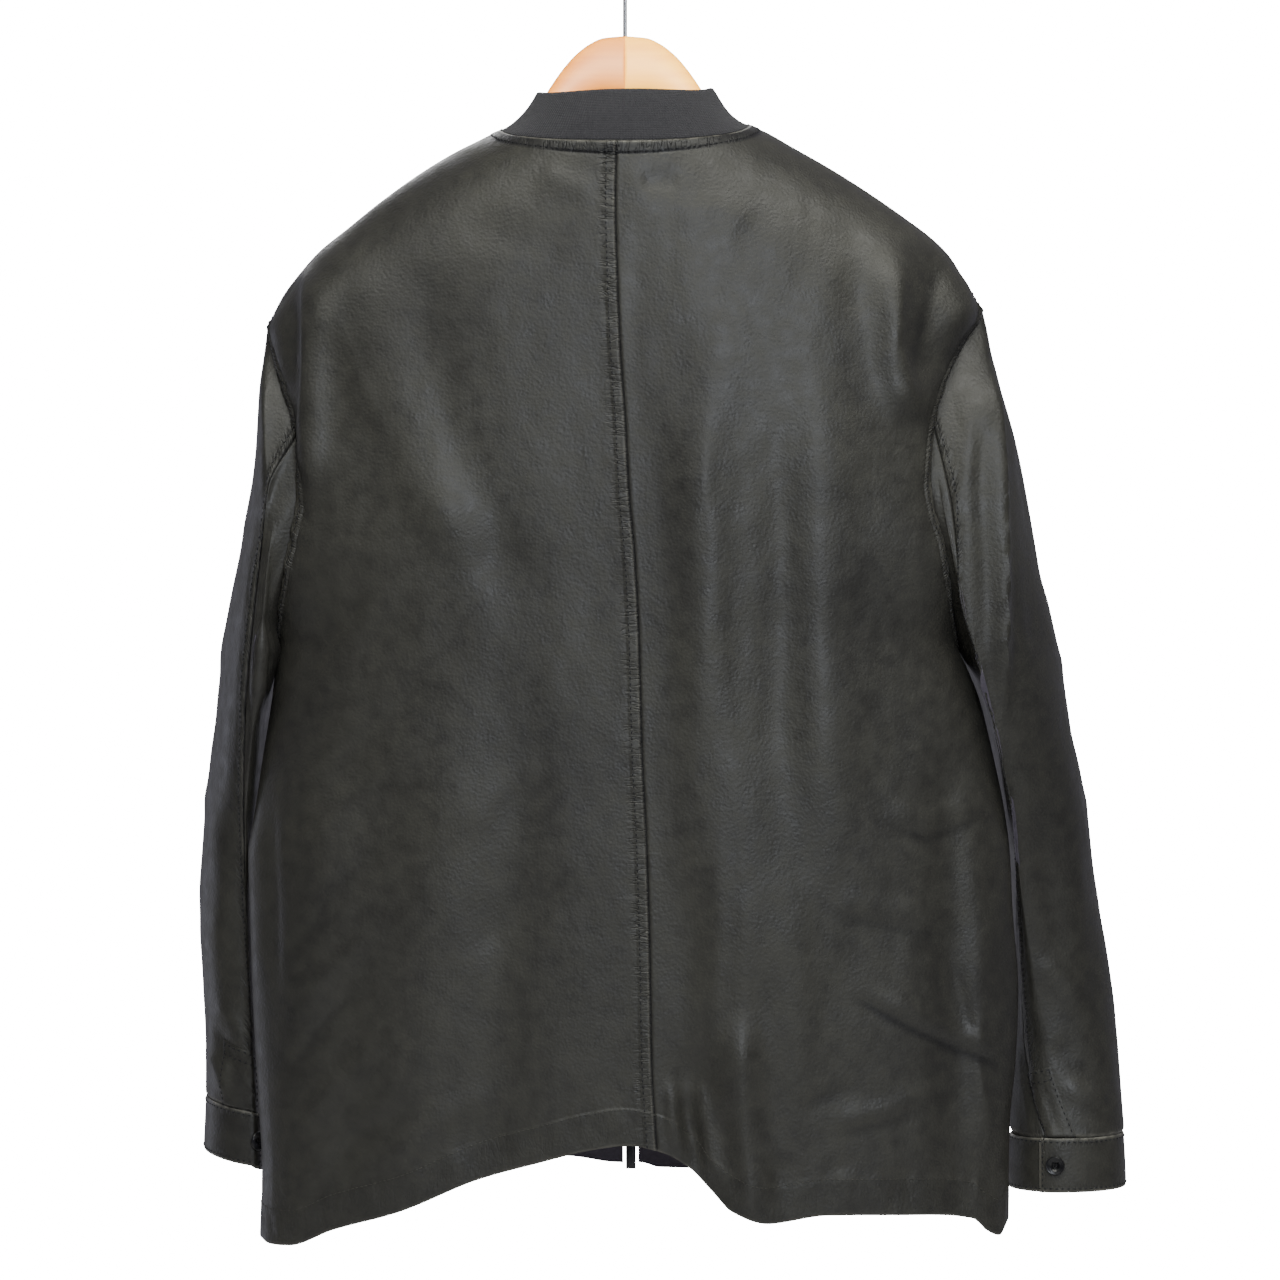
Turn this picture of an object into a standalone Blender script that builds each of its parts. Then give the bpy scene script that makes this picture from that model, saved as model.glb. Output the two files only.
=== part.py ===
"""A thin leather jacket with a fine-rib band collar, hanging closed on a wooden hanger.

Every cloth piece is a thin wall: a grid of points on the garment's outer surface, and the
same grid moved in by the wall. Pieces that are sewn together share their seam's points and
the seam's normal, and each stands back from the seam by half of SEAM_GAP.

Lengths in the tables and constants are millimetres. The origin is the point where the hook
bears on its rail, straight above the wood's top. +Z is up, the back of the jacket faces -Y,
and the wearer's left arm is at -X. "down" is the distance below the origin, "out" the
distance from the hook's line, whichever side.
"""

import math
from collections import defaultdict, namedtuple

import bmesh
import bpy
import numpy as np

MM = 0.001

# Walls and clearances
LEATHER = 1.5
RIB_KNIT = 3.0
CUFF_CLOTH = 2.4
PLACKET_CLOTH = 1.2
TAPE_CLOTH = 0.8
SEAM_GAP = 0.3
LONGEST_MITRE = 1.9
CUTTER_PAST = 5.0  # how far a cutter reaches past what it cuts

# Body
UNDERARM_DOWN = 505.0
UNDERARM_DEPTH = 4.0
SHOULDER_SWEEP = 12.0
SHOULDER_OUT = 251.5
NECK_OUT = 87.0
BACK_NECK_DOWN = 159.0
FRONT_NECK_DOWN = 225.0
BACK_SHOULDER_DOWN = 285.0  # where the row from the shoulder point reaches the centre
FRONT_SHOULDER_DOWN = 318.0
BACK_UNDERARM_DOWN = 500.0  # where the row from the underarm does
FRONT_UNDERARM_DOWN = 512.0
FRONT_DEPTH = 64.0
FRONT_EDGE = 6.3
ZIP_TOP_X = 0.5
ZIP_BOTTOM_X = 3.9
ZIP_FOOT_DOWN = 875.6
SHOULDER_ROWS = 8
ARMHOLE_ROWS = 10
SIDE_ROWS = 14
BACK_COLUMNS = 14
FRONT_COLUMNS = 10
NECK_POWER = 2.0  # how square the body's section is: round at the neck, flatter below
CHEST_POWER = 3.0
HEM_POWER = 2.5
FOLD_FADE = 0.3

# Collar
COLLAR_ROWS = 4
COLLAR_LEAN_SIDE = 0.713
COLLAR_LEAN_DEPTH = 0.83
COLLAR_RISE_BACK = 37.4
COLLAR_RISE_SIDE = 28.5
COLLAR_RISE_FRONT = 30.0

# Sleeves and cuffs
BACK_SEAM_STEP = 4
FRONT_SEAM_STEP = 6
FRONT_SEAM_SWING = 22.0  # degrees that the front seam turns in, below SWING_START and over SWING_LONG
SWING_START = 300.0
SWING_LONG = 400.0
SLEEVE_SUBROWS = 2
SECTION_POWER = 0.9
CUFF_DEEP = 38.5
CUFF_PAST_SEAM = 4.0  # degrees from the sleeve's back seam to the lap's end
CUFF_START = 0.016  # the part of its depth by which the cuff stands off the sleeve's end
CUFF_ROWS = 2
CUFF_STEPS = 26
CUFF_FLARE = 1.5
CUFF_LAP_LIFT = 2.9
CUFF_LAP_FADE = 70.0
CUFF_LAP = 24.0
PLACKET_ROWS = 4
PLACKET_CLEAR = 0.6
BUTTON_TURN = 19.0  # degrees from the lap's end
BUTTON_SIDES = 20
BUTTON_PROFILE = ((0.0, 5.6), (0.5, 6.7), (2.1, 6.7), (2.6, 6.0))  # height and radius

# Zip
CHAIN_HALF = 3.0
CHAIN_THICK = 2.4
TAPE_OUTER = 17.0
TAPE_FIRST_ROW = 0.1  # in rows of the front panel
TAPE_LAST_ROW = 31.55
TAPE_ROWS = 18
CHAIN_TOP_DOWN = 233.0
CHAIN_END_DOWN = 866.0
BOX_END_DOWN = 879.6
BOX_HALF = 3.5
BOX_THICK = 4.4
SLIDER_HALF = 4.0
SLIDER_WALL = 1.2
SLIDER_TALL = 11.0
SLIDER_CROWN = 2.6
SLIDER_FLARE = 2.0
SLIDER_TAPER = 1.0
BRIDGE_HALF = 1.3
BRIDGE_REACH = 4.3
BRIDGE_BAR = 1.3
BRIDGE_CHAMFER = 0.4
TUNNEL = 2.9
TAB_PIVOT_LOW = 1.5
TAB_THICK = 1.6
TAB_HALF = 3.5
TAB_LONG = 27.0
TAB_EYE_HALF = 1.7
TAB_EYE_END = 7.6
TAB_HEAD_CHAMFER = 0.8
TAB_END_IN = 1.5
TAB_END_UP = 2.5

# Hanger
WIRE_RADIUS = 1.5
HOOK_RADIUS = 20.5
HOOK_STEM_FOOT = 103.0
HOOK_BEND_DOWN = 48.0
HOOK_TAIL = 9.0
HOOK_STEM_POINTS = 6
HOOK_SWING_POINTS = 11
HOOK_ROUND_POINTS = 25
STEM_HOLE_RADIUS = 1.8
STEM_HOLE_FOOT = 104.0
STEM_HOLE_SIDES = 12
HANGER_TIP = 222.0
HANGER_SIDES = 14
HANGER_STEP = 12.0
HANGER_SOFTNESS = 0.9

Ridge = namedtuple("Ridge", "out left right")
RIDGE = (  # the shoulder seam's distance down, along the top of the hanger and off its end
    Ridge(87.0, 143.5, 140.0),
    Ridge(100.0, 149.6, 145.6),
    Ridge(120.0, 159.5, 156.8),
    Ridge(145.0, 174.8, 171.1),
    Ridge(170.0, 192.8, 186.8),
    Ridge(195.0, 212.7, 204.0),
    Ridge(215.0, 228.6, 218.7),
    Ridge(228.0, 243.0, 231.5),
    Ridge(240.0, 258.6, 251.0),
    Ridge(251.5, 281.0, 269.5),
)

Armhole = namedtuple("Armhole", "part back_left back_right front_left front_right back front")
ARMHOLE = (  # part 0 is the shoulder point and 1 the underarm; then out, out, and depth
    Armhole(0.00, 251.5, 251.5, 251.5, 251.5, 12.0, 12.0),
    Armhole(0.18, 240.0, 226.0, 244.0, 238.0, -12.0, 40.0),
    Armhole(0.36, 227.0, 213.5, 236.0, 230.0, -28.0, 54.0),
    Armhole(0.54, 226.0, 211.0, 233.0, 228.0, -35.0, 60.0),
    Armhole(0.72, 233.0, 221.0, 236.0, 230.0, -33.0, 56.0),
    Armhole(0.88, 240.0, 227.0, 241.0, 232.0, -18.0, 36.0),
    Armhole(1.00, 243.0, 232.0, 243.0, 232.0, 4.0, 4.0),
)

Side = namedtuple("Side", "down left right")
SIDE = (  # how far out the side seams lie
    Side(505.0, 243.0, 232.0),
    Side(526.0, 245.5, 242.0),
    Side(543.0, 247.5, 248.5),
    Side(578.0, 253.0, 257.0),
    Side(625.0, 260.0, 266.5),
    Side(650.0, 264.0, 269.5),
    Side(690.0, 263.0, 271.5),
    Side(747.0, 261.0, 275.5),
    Side(790.0, 259.0, 274.0),
    Side(836.0, 256.0, 270.0),
    Side(868.0, 254.5, 269.0),
    Side(920.0, 255.5, 268.5),
)

Spine = namedtuple("Spine", "down across deep")
SPINE = (  # the centre-back seam wanders to the wearer's right as it goes down
    Spine(159.0, -5.5, 58.0),
    Spine(200.0, -6.2, 62.0),
    Spine(250.0, -5.0, 64.5),
    Spine(300.0, -3.0, 66.0),
    Spine(350.0, 0.5, 67.0),
    Spine(400.0, 3.0, 68.0),
    Spine(445.0, 7.0, 68.0),
    Spine(500.0, 9.8, 68.0),
    Spine(580.0, 12.0, 68.0),
    Spine(640.0, 15.0, 68.0),
    Spine(720.0, 17.3, 67.0),
    Spine(790.0, 18.5, 66.0),
    Spine(850.0, 22.0, 64.0),
)

Hem = namedtuple("Hem", "across down")
BACK_HEM = (
    Hem(-256.0, 918.0),
    Hem(-247.0, 921.0),
    Hem(-233.0, 920.4),
    Hem(-201.0, 907.5),
    Hem(-154.0, 893.0),
    Hem(-103.0, 871.5),
    Hem(-60.0, 859.0),
    Hem(-23.0, 849.6),
    Hem(2.0, 846.5),
    Hem(25.0, 851.0),
    Hem(43.0, 861.0),
    Hem(59.0, 877.0),
    Hem(73.0, 891.0),
    Hem(99.0, 899.7),
    Hem(139.0, 895.0),
    Hem(203.0, 896.5),
    Hem(241.0, 901.5),
    Hem(252.0, 911.0),
    Hem(261.0, 915.0),
    Hem(269.0, 905.0),
)
FRONT_HEM = (
    Hem(-256.0, 918.0),
    Hem(-236.0, 917.0),
    Hem(-200.0, 905.0),
    Hem(-140.0, 884.0),
    Hem(-85.0, 869.0),
    Hem(-40.0, 871.0),
    Hem(-4.0, 875.6),
    Hem(10.0, 875.6),
    Hem(25.0, 879.0),
    Hem(80.0, 880.0),
    Hem(140.0, 887.0),
    Hem(200.0, 893.0),
    Hem(245.0, 902.0),
    Hem(269.0, 905.0),
)

Fold = namedtuple("Fold", "across_top down_top across_foot down_foot half_width height")
BACK_FOLDS = (  # soft rolls (+) and troughs (-) of the hanging back
    Fold(64.0, 300.0, 84.0, 790.0, 34.0, 6.0),
    Fold(22.0, 420.0, 38.0, 860.0, 22.0, -4.0),
    Fold(132.0, 300.0, 150.0, 660.0, 24.0, 4.0),
    Fold(-200.0, 238.0, -120.0, 430.0, 26.0, 6.0),
    Fold(-150.0, 250.0, -75.0, 470.0, 22.0, -3.5),
    Fold(-205.0, 620.0, -235.0, 915.0, 26.0, 5.0),
    Fold(-120.0, 560.0, -165.0, 900.0, 34.0, 4.0),
    Fold(-70.0, 560.0, -95.0, 880.0, 24.0, -3.5),
    Fold(44.0, 790.0, 50.0, 900.0, 15.0, -11.0),
    Fold(76.0, 770.0, 86.0, 905.0, 18.0, 7.0),
    Fold(190.0, 232.0, 197.0, 345.0, 17.0, 7.0),
    Fold(216.0, 232.0, 206.0, 320.0, 13.0, -7.0),
    Fold(222.0, 600.0, 230.0, 915.0, 16.0, -6.0),
    Fold(-214.0, 250.0, -222.0, 400.0, 14.0, 5.0),
)
FRONT_FOLDS = (
    Fold(-150.0, 260.0, -95.0, 470.0, 26.0, 5.0),
    Fold(150.0, 260.0, 100.0, 470.0, 26.0, 5.0),
    Fold(-110.0, 540.0, -150.0, 890.0, 30.0, 5.0),
    Fold(118.0, 560.0, 140.0, 885.0, 28.0, 5.0),
    Fold(-70.0, 600.0, -90.0, 870.0, 22.0, -4.0),
    Fold(70.0, 620.0, 84.0, 875.0, 22.0, -4.0),
)

Ring = namedtuple("Ring", "over under out ridge inner back front seam")
SLEEVE_LEFT = (  # down at the outer and inner side; out at outer side, back ridge, inner side
    Ring(318.0, 525.0, 256.0, 243.0, 249.0, -38.0, 66.0, 76.0),
    Ring(372.0, 552.0, 260.0, 248.5, 254.0, -34.0, 80.0, 76.0),
    Ring(430.0, 585.0, 271.5, 254.0, 256.5, -26.0, 96.0, 78.0),
    Ring(495.0, 625.0, 285.0, 261.5, 260.0, -14.0, 110.0, 84.0),
    Ring(560.0, 665.0, 294.5, 267.0, 262.5, 0.0, 120.0, 92.0),
    Ring(625.0, 705.0, 301.5, 268.5, 262.0, 12.0, 124.0, 98.0),
    Ring(690.0, 746.0, 305.8, 268.0, 260.0, 18.0, 126.0, 106.0),
    Ring(752.0, 787.0, 302.8, 265.5, 259.0, 20.0, 125.0, 112.0),
    Ring(792.5, 815.0, 301.3, 264.5, 258.0, 20.0, 124.0, 115.0),
    Ring(826.0, 840.0, 301.3, 264.0, 258.0, 20.0, 123.0, 115.0),
)
SLEEVE_RIGHT = (
    Ring(318.0, 525.0, 262.0, 222.0, 245.0, -38.0, 66.0, 85.0),
    Ring(372.0, 552.0, 279.0, 229.0, 256.0, -40.0, 78.0, 95.0),
    Ring(430.0, 585.0, 291.0, 241.0, 263.0, -37.0, 92.0, 105.0),
    Ring(495.0, 625.0, 305.0, 256.0, 269.0, -30.0, 106.0, 115.0),
    Ring(560.0, 665.0, 317.5, 269.0, 276.0, -16.0, 116.0, 122.0),
    Ring(625.0, 705.0, 330.0, 277.0, 276.0, 0.0, 122.0, 128.0),
    Ring(690.0, 745.0, 340.5, 286.0, 277.0, 9.0, 120.0, 133.0),
    Ring(755.0, 790.0, 349.5, 298.0, 277.0, 14.0, 110.0, 135.0),
    Ring(810.0, 820.0, 353.0, 308.0, 276.0, 12.0, 98.0, 128.0),
    Ring(849.5, 851.0, 355.0, 313.5, 275.0, 8.0, 84.0, 115.0),
)

HangerTop = namedtuple("HangerTop", "out down")
HANGER_NECK = (
    HangerTop(0.0, 78.2),
    HangerTop(15.0, 79.6),
    HangerTop(25.0, 84.0),
    HangerTop(35.0, 91.8),
    HangerTop(43.0, 100.8),
    HangerTop(50.0, 110.5),
    HangerTop(60.0, 126.0),
    HangerTop(72.0, 140.0),
)
HangerSection = namedtuple("HangerSection", "out tall wide under back")
HANGER_SECTION = (  # how far the wood's top lies under the shoulder seam, and how far behind it
    HangerSection(0.0, 40.0, 13.0, 8.5, 0.0),
    HangerSection(40.0, 34.0, 12.0, 8.5, 0.5),
    HangerSection(70.0, 29.0, 11.0, 8.5, 2.0),
    HangerSection(87.0, 27.0, 11.0, 8.5, 3.0),
    HangerSection(110.0, 26.0, 13.0, 4.6, 3.0),
    HangerSection(160.0, 25.0, 16.0, 3.4, 2.0),
    HangerSection(205.0, 22.0, 18.0, 3.4, 1.0),
    HangerSection(217.0, 17.0, 14.0, 4.6, 1.0),
    HangerSection(222.0, 8.0, 8.0, 7.0, 1.0),
)

Finish = namedtuple("Finish", "colour roughness metallic")
FINISHES = {
    "leather": Finish((0.052, 0.051, 0.044), 0.48, 0.0),
    "rib": Finish((0.062, 0.062, 0.066), 0.90, 0.0),
    "tape": Finish((0.016, 0.016, 0.017), 0.85, 0.0),
    "zip_metal": Finish((0.030, 0.030, 0.032), 0.38, 1.0),
    "button": Finish((0.012, 0.012, 0.013), 0.35, 0.0),
    "wood": Finish((0.82, 0.62, 0.38), 0.45, 0.0),
    "steel": Finish((0.62, 0.62, 0.62), 0.25, 1.0),
}

SIDES = {"left": -1, "right": 1}
RIM_ORDER = (0.03, 0.02, 1.0)  # both sides of a seam cut their rims from the same end


def eased(table, key, value):
    """A smooth curve, with no overshoot, through one column of a table against another."""
    knots = np.array([getattr(row, key) for row in table], float)
    heights = np.array([getattr(row, value) for row in table], float)
    steps = np.diff(knots)
    slopes = np.diff(heights) / steps
    tangents = np.zeros(len(knots))
    tangents[0], tangents[-1] = slopes[0], slopes[-1]
    before, after = slopes[:-1], slopes[1:]
    rising = before * after > 0
    total = np.where(rising, before + after, 1.0)
    tangents[1:-1] = np.where(rising, 2 * before * after / total, 0.0)

    def curve(at):
        at = np.clip(at, knots[0], knots[-1])
        cell = np.clip(np.searchsorted(knots, at, side="right") - 1, 0, len(steps) - 1)
        t = (at - knots[cell]) / steps[cell]
        return (
            (1 + 2 * t) * (1 - t) ** 2 * heights[cell]
            + t * (1 - t) ** 2 * steps[cell] * tangents[cell]
            + t * t * (3 - 2 * t) * heights[cell + 1]
            + t * t * (t - 1) * steps[cell] * tangents[cell + 1]
        )

    return curve


def smooth_step(t):
    t = np.clip(t, 0.0, 1.0)
    return t * t * (3 - 2 * t)


def unit(vectors):
    return vectors / np.maximum(np.linalg.norm(vectors, axis=-1, keepdims=True), 1e-12)


def armhole_part(step):
    """How far round the armhole, by height, a sleeve column starts: close at both ends."""
    return (1 - math.cos(math.pi * step / ARMHOLE_ROWS)) / 2


def armhole_point(side, face, step):
    part = armhole_part(step)
    down = eased(RIDGE, "out", side)(SHOULDER_OUT)
    out = eased(ARMHOLE, "part", f"{face}_{side}")(part)
    depth = eased(ARMHOLE, "part", face)(part)
    return SIDES[side] * out, depth, -(down + (UNDERARM_DOWN - down) * part)


def hem_down(face, across):
    return eased(BACK_HEM if face == "back" else FRONT_HEM, "across", "down")(across)


def panel_end(side, face, row):
    """Where a row of a body panel ends: on the shoulder seam, the armhole or the side seam."""
    if row <= SHOULDER_ROWS:
        out = NECK_OUT + (SHOULDER_OUT - NECK_OUT) * row / SHOULDER_ROWS
        depth = SHOULDER_SWEEP * (out / SHOULDER_OUT) ** 2
        return SIDES[side] * out, depth, -eased(RIDGE, "out", side)(out)
    if row <= SHOULDER_ROWS + ARMHOLE_ROWS:
        return armhole_point(side, face, row - SHOULDER_ROWS)
    part = (row - SHOULDER_ROWS - ARMHOLE_ROWS) / SIDE_ROWS
    foot = hem_down("back", SIDES[side] * eased(SIDE, "down", side)(SIDE[-1].down))
    down = UNDERARM_DOWN + (foot - UNDERARM_DOWN) * part
    return SIDES[side] * eased(SIDE, "down", side)(down), UNDERARM_DEPTH, -down


def panel_centre(side, face, row):
    """Where a row of a body panel starts: on the centre-back seam or the front edge."""
    if face == "back":
        neck, shoulder, underarm = BACK_NECK_DOWN, BACK_SHOULDER_DOWN, BACK_UNDERARM_DOWN
        foot = hem_down(face, SPINE[-1].across)
    else:
        neck, shoulder, underarm = FRONT_NECK_DOWN, FRONT_SHOULDER_DOWN, FRONT_UNDERARM_DOWN
        foot = hem_down(face, ZIP_BOTTOM_X + SIDES[side] * FRONT_EDGE)
    if row <= SHOULDER_ROWS:
        down = neck + (shoulder - neck) * row / SHOULDER_ROWS
    elif row <= SHOULDER_ROWS + ARMHOLE_ROWS:
        down = shoulder + (underarm - shoulder) * (row - SHOULDER_ROWS) / ARMHOLE_ROWS
    else:
        down = underarm + (foot - underarm) * (row - SHOULDER_ROWS - ARMHOLE_ROWS) / SIDE_ROWS
    if face == "back":
        return eased(SPINE, "down", "across")(down), -eased(SPINE, "down", "deep")(down), -down
    return zip_line(down) + SIDES[side] * FRONT_EDGE, FRONT_DEPTH, -down


def zip_line(down):
    part = (down - FRONT_NECK_DOWN) / (ZIP_FOOT_DOWN - FRONT_NECK_DOWN)
    return ZIP_TOP_X + (ZIP_BOTTOM_X - ZIP_TOP_X) * part


def fold_lift(folds, across, down):
    """How far the cloth stands out at a point, added up over a panel's folds."""
    lift = np.zeros_like(across)
    for fold in folds:
        along = (down - fold.down_top) / (fold.down_foot - fold.down_top)
        line = fold.across_top + (fold.across_foot - fold.across_top) * along
        window = smooth_step(along / FOLD_FADE + 0.5) * smooth_step((1 - along) / FOLD_FADE + 0.5)
        lift += fold.height * window * np.exp(-(((across - line) / fold.half_width) ** 2))
    return lift


def panel(side, face):
    """The outer points of half a back or one front, in rows from the centre to the side."""
    columns = BACK_COLUMNS if face == "back" else FRONT_COLUMNS
    rows = SHOULDER_ROWS + ARMHOLE_ROWS + SIDE_ROWS
    share = np.sin(np.linspace(0, math.pi / 2, columns + 1))
    grid = np.zeros((rows + 1, columns + 1, 3))
    for row in range(rows + 1):
        start = np.array(panel_centre(side, face, row))
        end = np.array(panel_end(side, face, row))
        shoulder = smooth_step(row / SHOULDER_ROWS)
        below = max(0.0, (row - SHOULDER_ROWS - ARMHOLE_ROWS) / SIDE_ROWS)
        power = NECK_POWER + (CHEST_POWER - NECK_POWER) * shoulder
        power += (HEM_POWER - CHEST_POWER) * smooth_step(below)
        across = start[0] + (end[0] - start[0]) * share
        depth = end[1] + (start[1] - end[1]) * np.sqrt(np.clip(1 - share**power, 0, 1))
        height = end[2] + (start[2] - end[2]) * np.clip(1 - share**2, 0, 1) ** (0.5 + 0.5 * shoulder)
        hem_rise = hem_down(face, across[-1]) - hem_down(face, across)
        height += below**3 * (hem_rise - hem_rise[0] * (1 - share**2))
        folds = BACK_FOLDS if face == "back" else FRONT_FOLDS
        held = share * (1 - share**8)
        lift = fold_lift(folds, across, -height) * np.clip(4 * held, 0, 1) * shoulder
        depth += lift * (-1 if face == "back" else 1)
        grid[row] = np.stack([across, depth, height], axis=1)
        grid[row, 0] = start
        grid[row, -1] = end
    return grid


def sleeve_angles(seam, face):
    """Angle of each sleeve column from the outer side, round the back or round the front."""
    seam_step = BACK_SEAM_STEP if face == "back" else FRONT_SEAM_STEP
    steps = np.arange(ARMHOLE_ROWS + 1)
    return np.interp(steps, (0, seam_step, ARMHOLE_ROWS), (0.0, seam, 180.0))


def ring_point(side, ring, angle):
    """A point of a sleeve's section. The angle runs from the outer side, minus towards the back."""
    turn = math.radians(angle)
    cosine, sine = math.cos(turn), math.sin(turn)
    bulge = abs(cosine) ** SECTION_POWER
    rim = ring.out if cosine > 0 else ring.inner
    out = ring.ridge + (rim - ring.ridge) * bulge
    depth = (ring.back + ring.front) / 2 + (ring.front - ring.back) / 2 * sine
    down = ring.over + (ring.under - ring.over) * (1 - cosine) / 2
    return SIDES[side] * out, depth, -down


def sleeve_rings(side):
    """The sleeve's table with rows read between its own, from the first ring down."""
    table = SLEEVE_LEFT if side == "left" else SLEEVE_RIGHT
    curves = {name: eased(table, "over", name) for name in Ring._fields if name != "over"}
    rings = []
    for above, below in zip(table[:-1], table[1:]):
        for step in range(SLEEVE_SUBROWS):
            over = above.over + (below.over - above.over) * step / SLEEVE_SUBROWS
            rings.append(Ring(over, **{name: float(curve(over)) for name, curve in curves.items()}))
    return rings + [table[-1]]


def front_seam_angle(ring):
    """The front seam starts at the armhole's lower front and ends under the wrist."""
    armhole_angle = 180.0 * FRONT_SEAM_STEP / ARMHOLE_ROWS
    return armhole_angle + FRONT_SEAM_SWING * smooth_step((ring.over - SWING_START) / SWING_LONG)


def sleeve(side):
    """The whole tube's outer points: columns go from the underarm by the back to the underarm."""
    rings = sleeve_rings(side)
    grid = np.zeros((len(rings) + 1, 2 * ARMHOLE_ROWS + 1, 3))
    for step in range(ARMHOLE_ROWS + 1):
        grid[0, ARMHOLE_ROWS - step] = armhole_point(side, "back", step)
        grid[0, ARMHOLE_ROWS + step] = armhole_point(side, "front", step)
    for row, ring in enumerate(rings, 1):
        for step, angle in enumerate(sleeve_angles(ring.seam, "back")):
            grid[row, ARMHOLE_ROWS - step] = ring_point(side, ring, -angle)
        for step, angle in enumerate(sleeve_angles(front_seam_angle(ring), "front")):
            grid[row, ARMHOLE_ROWS + step] = ring_point(side, ring, angle)
    return grid


def upper_and_under(tube):
    """The sleeve's two pieces, cut at the back seam and the front seam."""
    back_seam = ARMHOLE_ROWS - BACK_SEAM_STEP
    front_seam = ARMHOLE_ROWS + FRONT_SEAM_STEP
    upper = tube[:, back_seam : front_seam + 1]
    under = np.concatenate([tube[:, front_seam:], tube[:, 1 : back_seam + 1]], axis=1)
    return upper, under


def collar(panels):
    """The collar's outer points, from the left front edge round the back to the right one."""
    seam = np.concatenate(
        [
            panels["left", "front"][0],
            panels["left", "back"][0][::-1][1:],
            panels["right", "back"][0][1:],
            panels["right", "front"][0][::-1][1:],
        ]
    )
    side_share = np.clip(np.abs(seam[:, 0]) / NECK_OUT, 0, 1) ** 2
    end_rise = np.where(seam[:, 1] < 0, COLLAR_RISE_BACK, COLLAR_RISE_FRONT)
    rise = end_rise + (COLLAR_RISE_SIDE - end_rise) * side_share
    top = seam * (COLLAR_LEAN_SIDE, COLLAR_LEAN_DEPTH, 1) + np.outer(rise, (0, 0, 1))
    part = np.linspace(1, 0, COLLAR_ROWS + 1)[:, None, None]
    return seam + (top - seam) * part


def grid_normals(grid):
    """The unit normals of the faces round each point, added up, and how many they are."""
    ahead = np.diff(grid, axis=0)
    aside = np.diff(grid, axis=1)
    faces = unit(np.cross(ahead[:, :-1] + ahead[:, 1:], aside[:-1] + aside[1:]))
    total = np.zeros((*grid.shape[:2], 4))
    counted = np.concatenate([faces, np.ones((*faces.shape[:2], 1))], axis=2)
    for rows in (slice(None, -1), slice(1, None)):
        for columns in (slice(None, -1), slice(1, None)):
            total[rows, columns] += counted
    return total


def key_of(point):
    return tuple(np.round(point, 3))


def seam_normals(grids):
    """The normals of every sewn point, shared by all the pieces that meet there."""
    shared = defaultdict(lambda: np.zeros(4))
    for grid in grids.values():
        for point, summed in zip(grid.reshape(-1, 3), grid_normals(grid).reshape(-1, 4)):
            shared[key_of(point)] += summed
    return shared


def edge_inset(grid, normals, rim_rows, rim_columns):
    """Moves a piece's rims back from their seams, square to each seam and along the cloth."""
    moved = grid.copy()
    if rim_rows:
        along = np.gradient(grid, axis=1)
        for rim, inside in ((0, 1), (-1, -2)):
            back = unit(np.cross(normals[rim], along[rim]))
            facing = np.sign(np.sum(back * (grid[inside] - grid[rim]), axis=-1, keepdims=True))
            moved[rim] += back * facing * SEAM_GAP / 2
    if rim_columns:
        along = np.gradient(grid, axis=0)
        for rim, inside in ((0, 1), (-1, -2)):
            back = unit(np.cross(normals[:, rim], along[:, rim]))
            facing = np.sign(np.sum(back * (grid[:, inside] - grid[:, rim]), axis=-1, keepdims=True))
            moved[:, rim] += back * facing * SEAM_GAP / 2
    return moved


def wall(grid, shared, thick, lift=0.0, rim_rows=True, rim_columns=True):
    """A piece's outer and inner points: the grid moved by lift, and in again by its wall."""
    summed = grid_normals(grid).reshape(-1, 4)
    for index, point in enumerate(grid.reshape(-1, 3)):
        summed[index] = shared.get(key_of(point), summed[index])
    summed = summed.reshape(*grid.shape[:2], 4)
    normals = unit(summed[..., :3])
    evenness = np.linalg.norm(summed[..., :3], axis=-1, keepdims=True) / summed[..., 3:]
    mitre = 1 / np.clip(evenness, 1 / LONGEST_MITRE, 1)
    placed = edge_inset(grid, normals, rim_rows, rim_columns)
    return placed + normals * lift, placed + normals * (lift - thick * mitre)


def material(finish_name):
    found = bpy.data.materials.get(finish_name)
    if found:
        return found
    finish = FINISHES[finish_name]
    made = bpy.data.materials.new(finish_name)
    made.use_nodes = True
    shader = made.node_tree.nodes["Principled BSDF"]
    shader.inputs["Base Color"].default_value = (*finish.colour, 1.0)
    shader.inputs["Roughness"].default_value = finish.roughness
    shader.inputs["Metallic"].default_value = finish.metallic
    return made


def add_object(name, points, faces, finish_name, smooth=True):
    """A mesh object from points in millimetres."""
    mesh = bpy.data.meshes.new(name)
    mesh.from_pydata([tuple(float(c) * MM for c in p) for p in points], [], faces)
    mesh.validate()
    made = bpy.data.objects.new(name, mesh)
    made.data.materials.append(material(finish_name))
    bpy.context.scene.collection.objects.link(made)
    if smooth:
        mesh.shade_smooth()
        mesh.set_sharp_from_angle(angle=math.radians(40))
    return made


def grid_faces(rows, columns, first, flipped):
    """Two triangles a cell, cut along the same diagonal on the outer and the inner wall."""
    faces = []
    for row in range(rows - 1):
        for column in range(columns - 1):
            a = first + row * columns + column
            b, c, d = a + 1, a + columns + 1, a + columns
            pair = [(a, b, c), (a, c, d)] if (row + column) % 2 else [(a, b, d), (b, c, d)]
            faces += [tri[::-1] for tri in pair] if flipped else pair
    return faces


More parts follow.
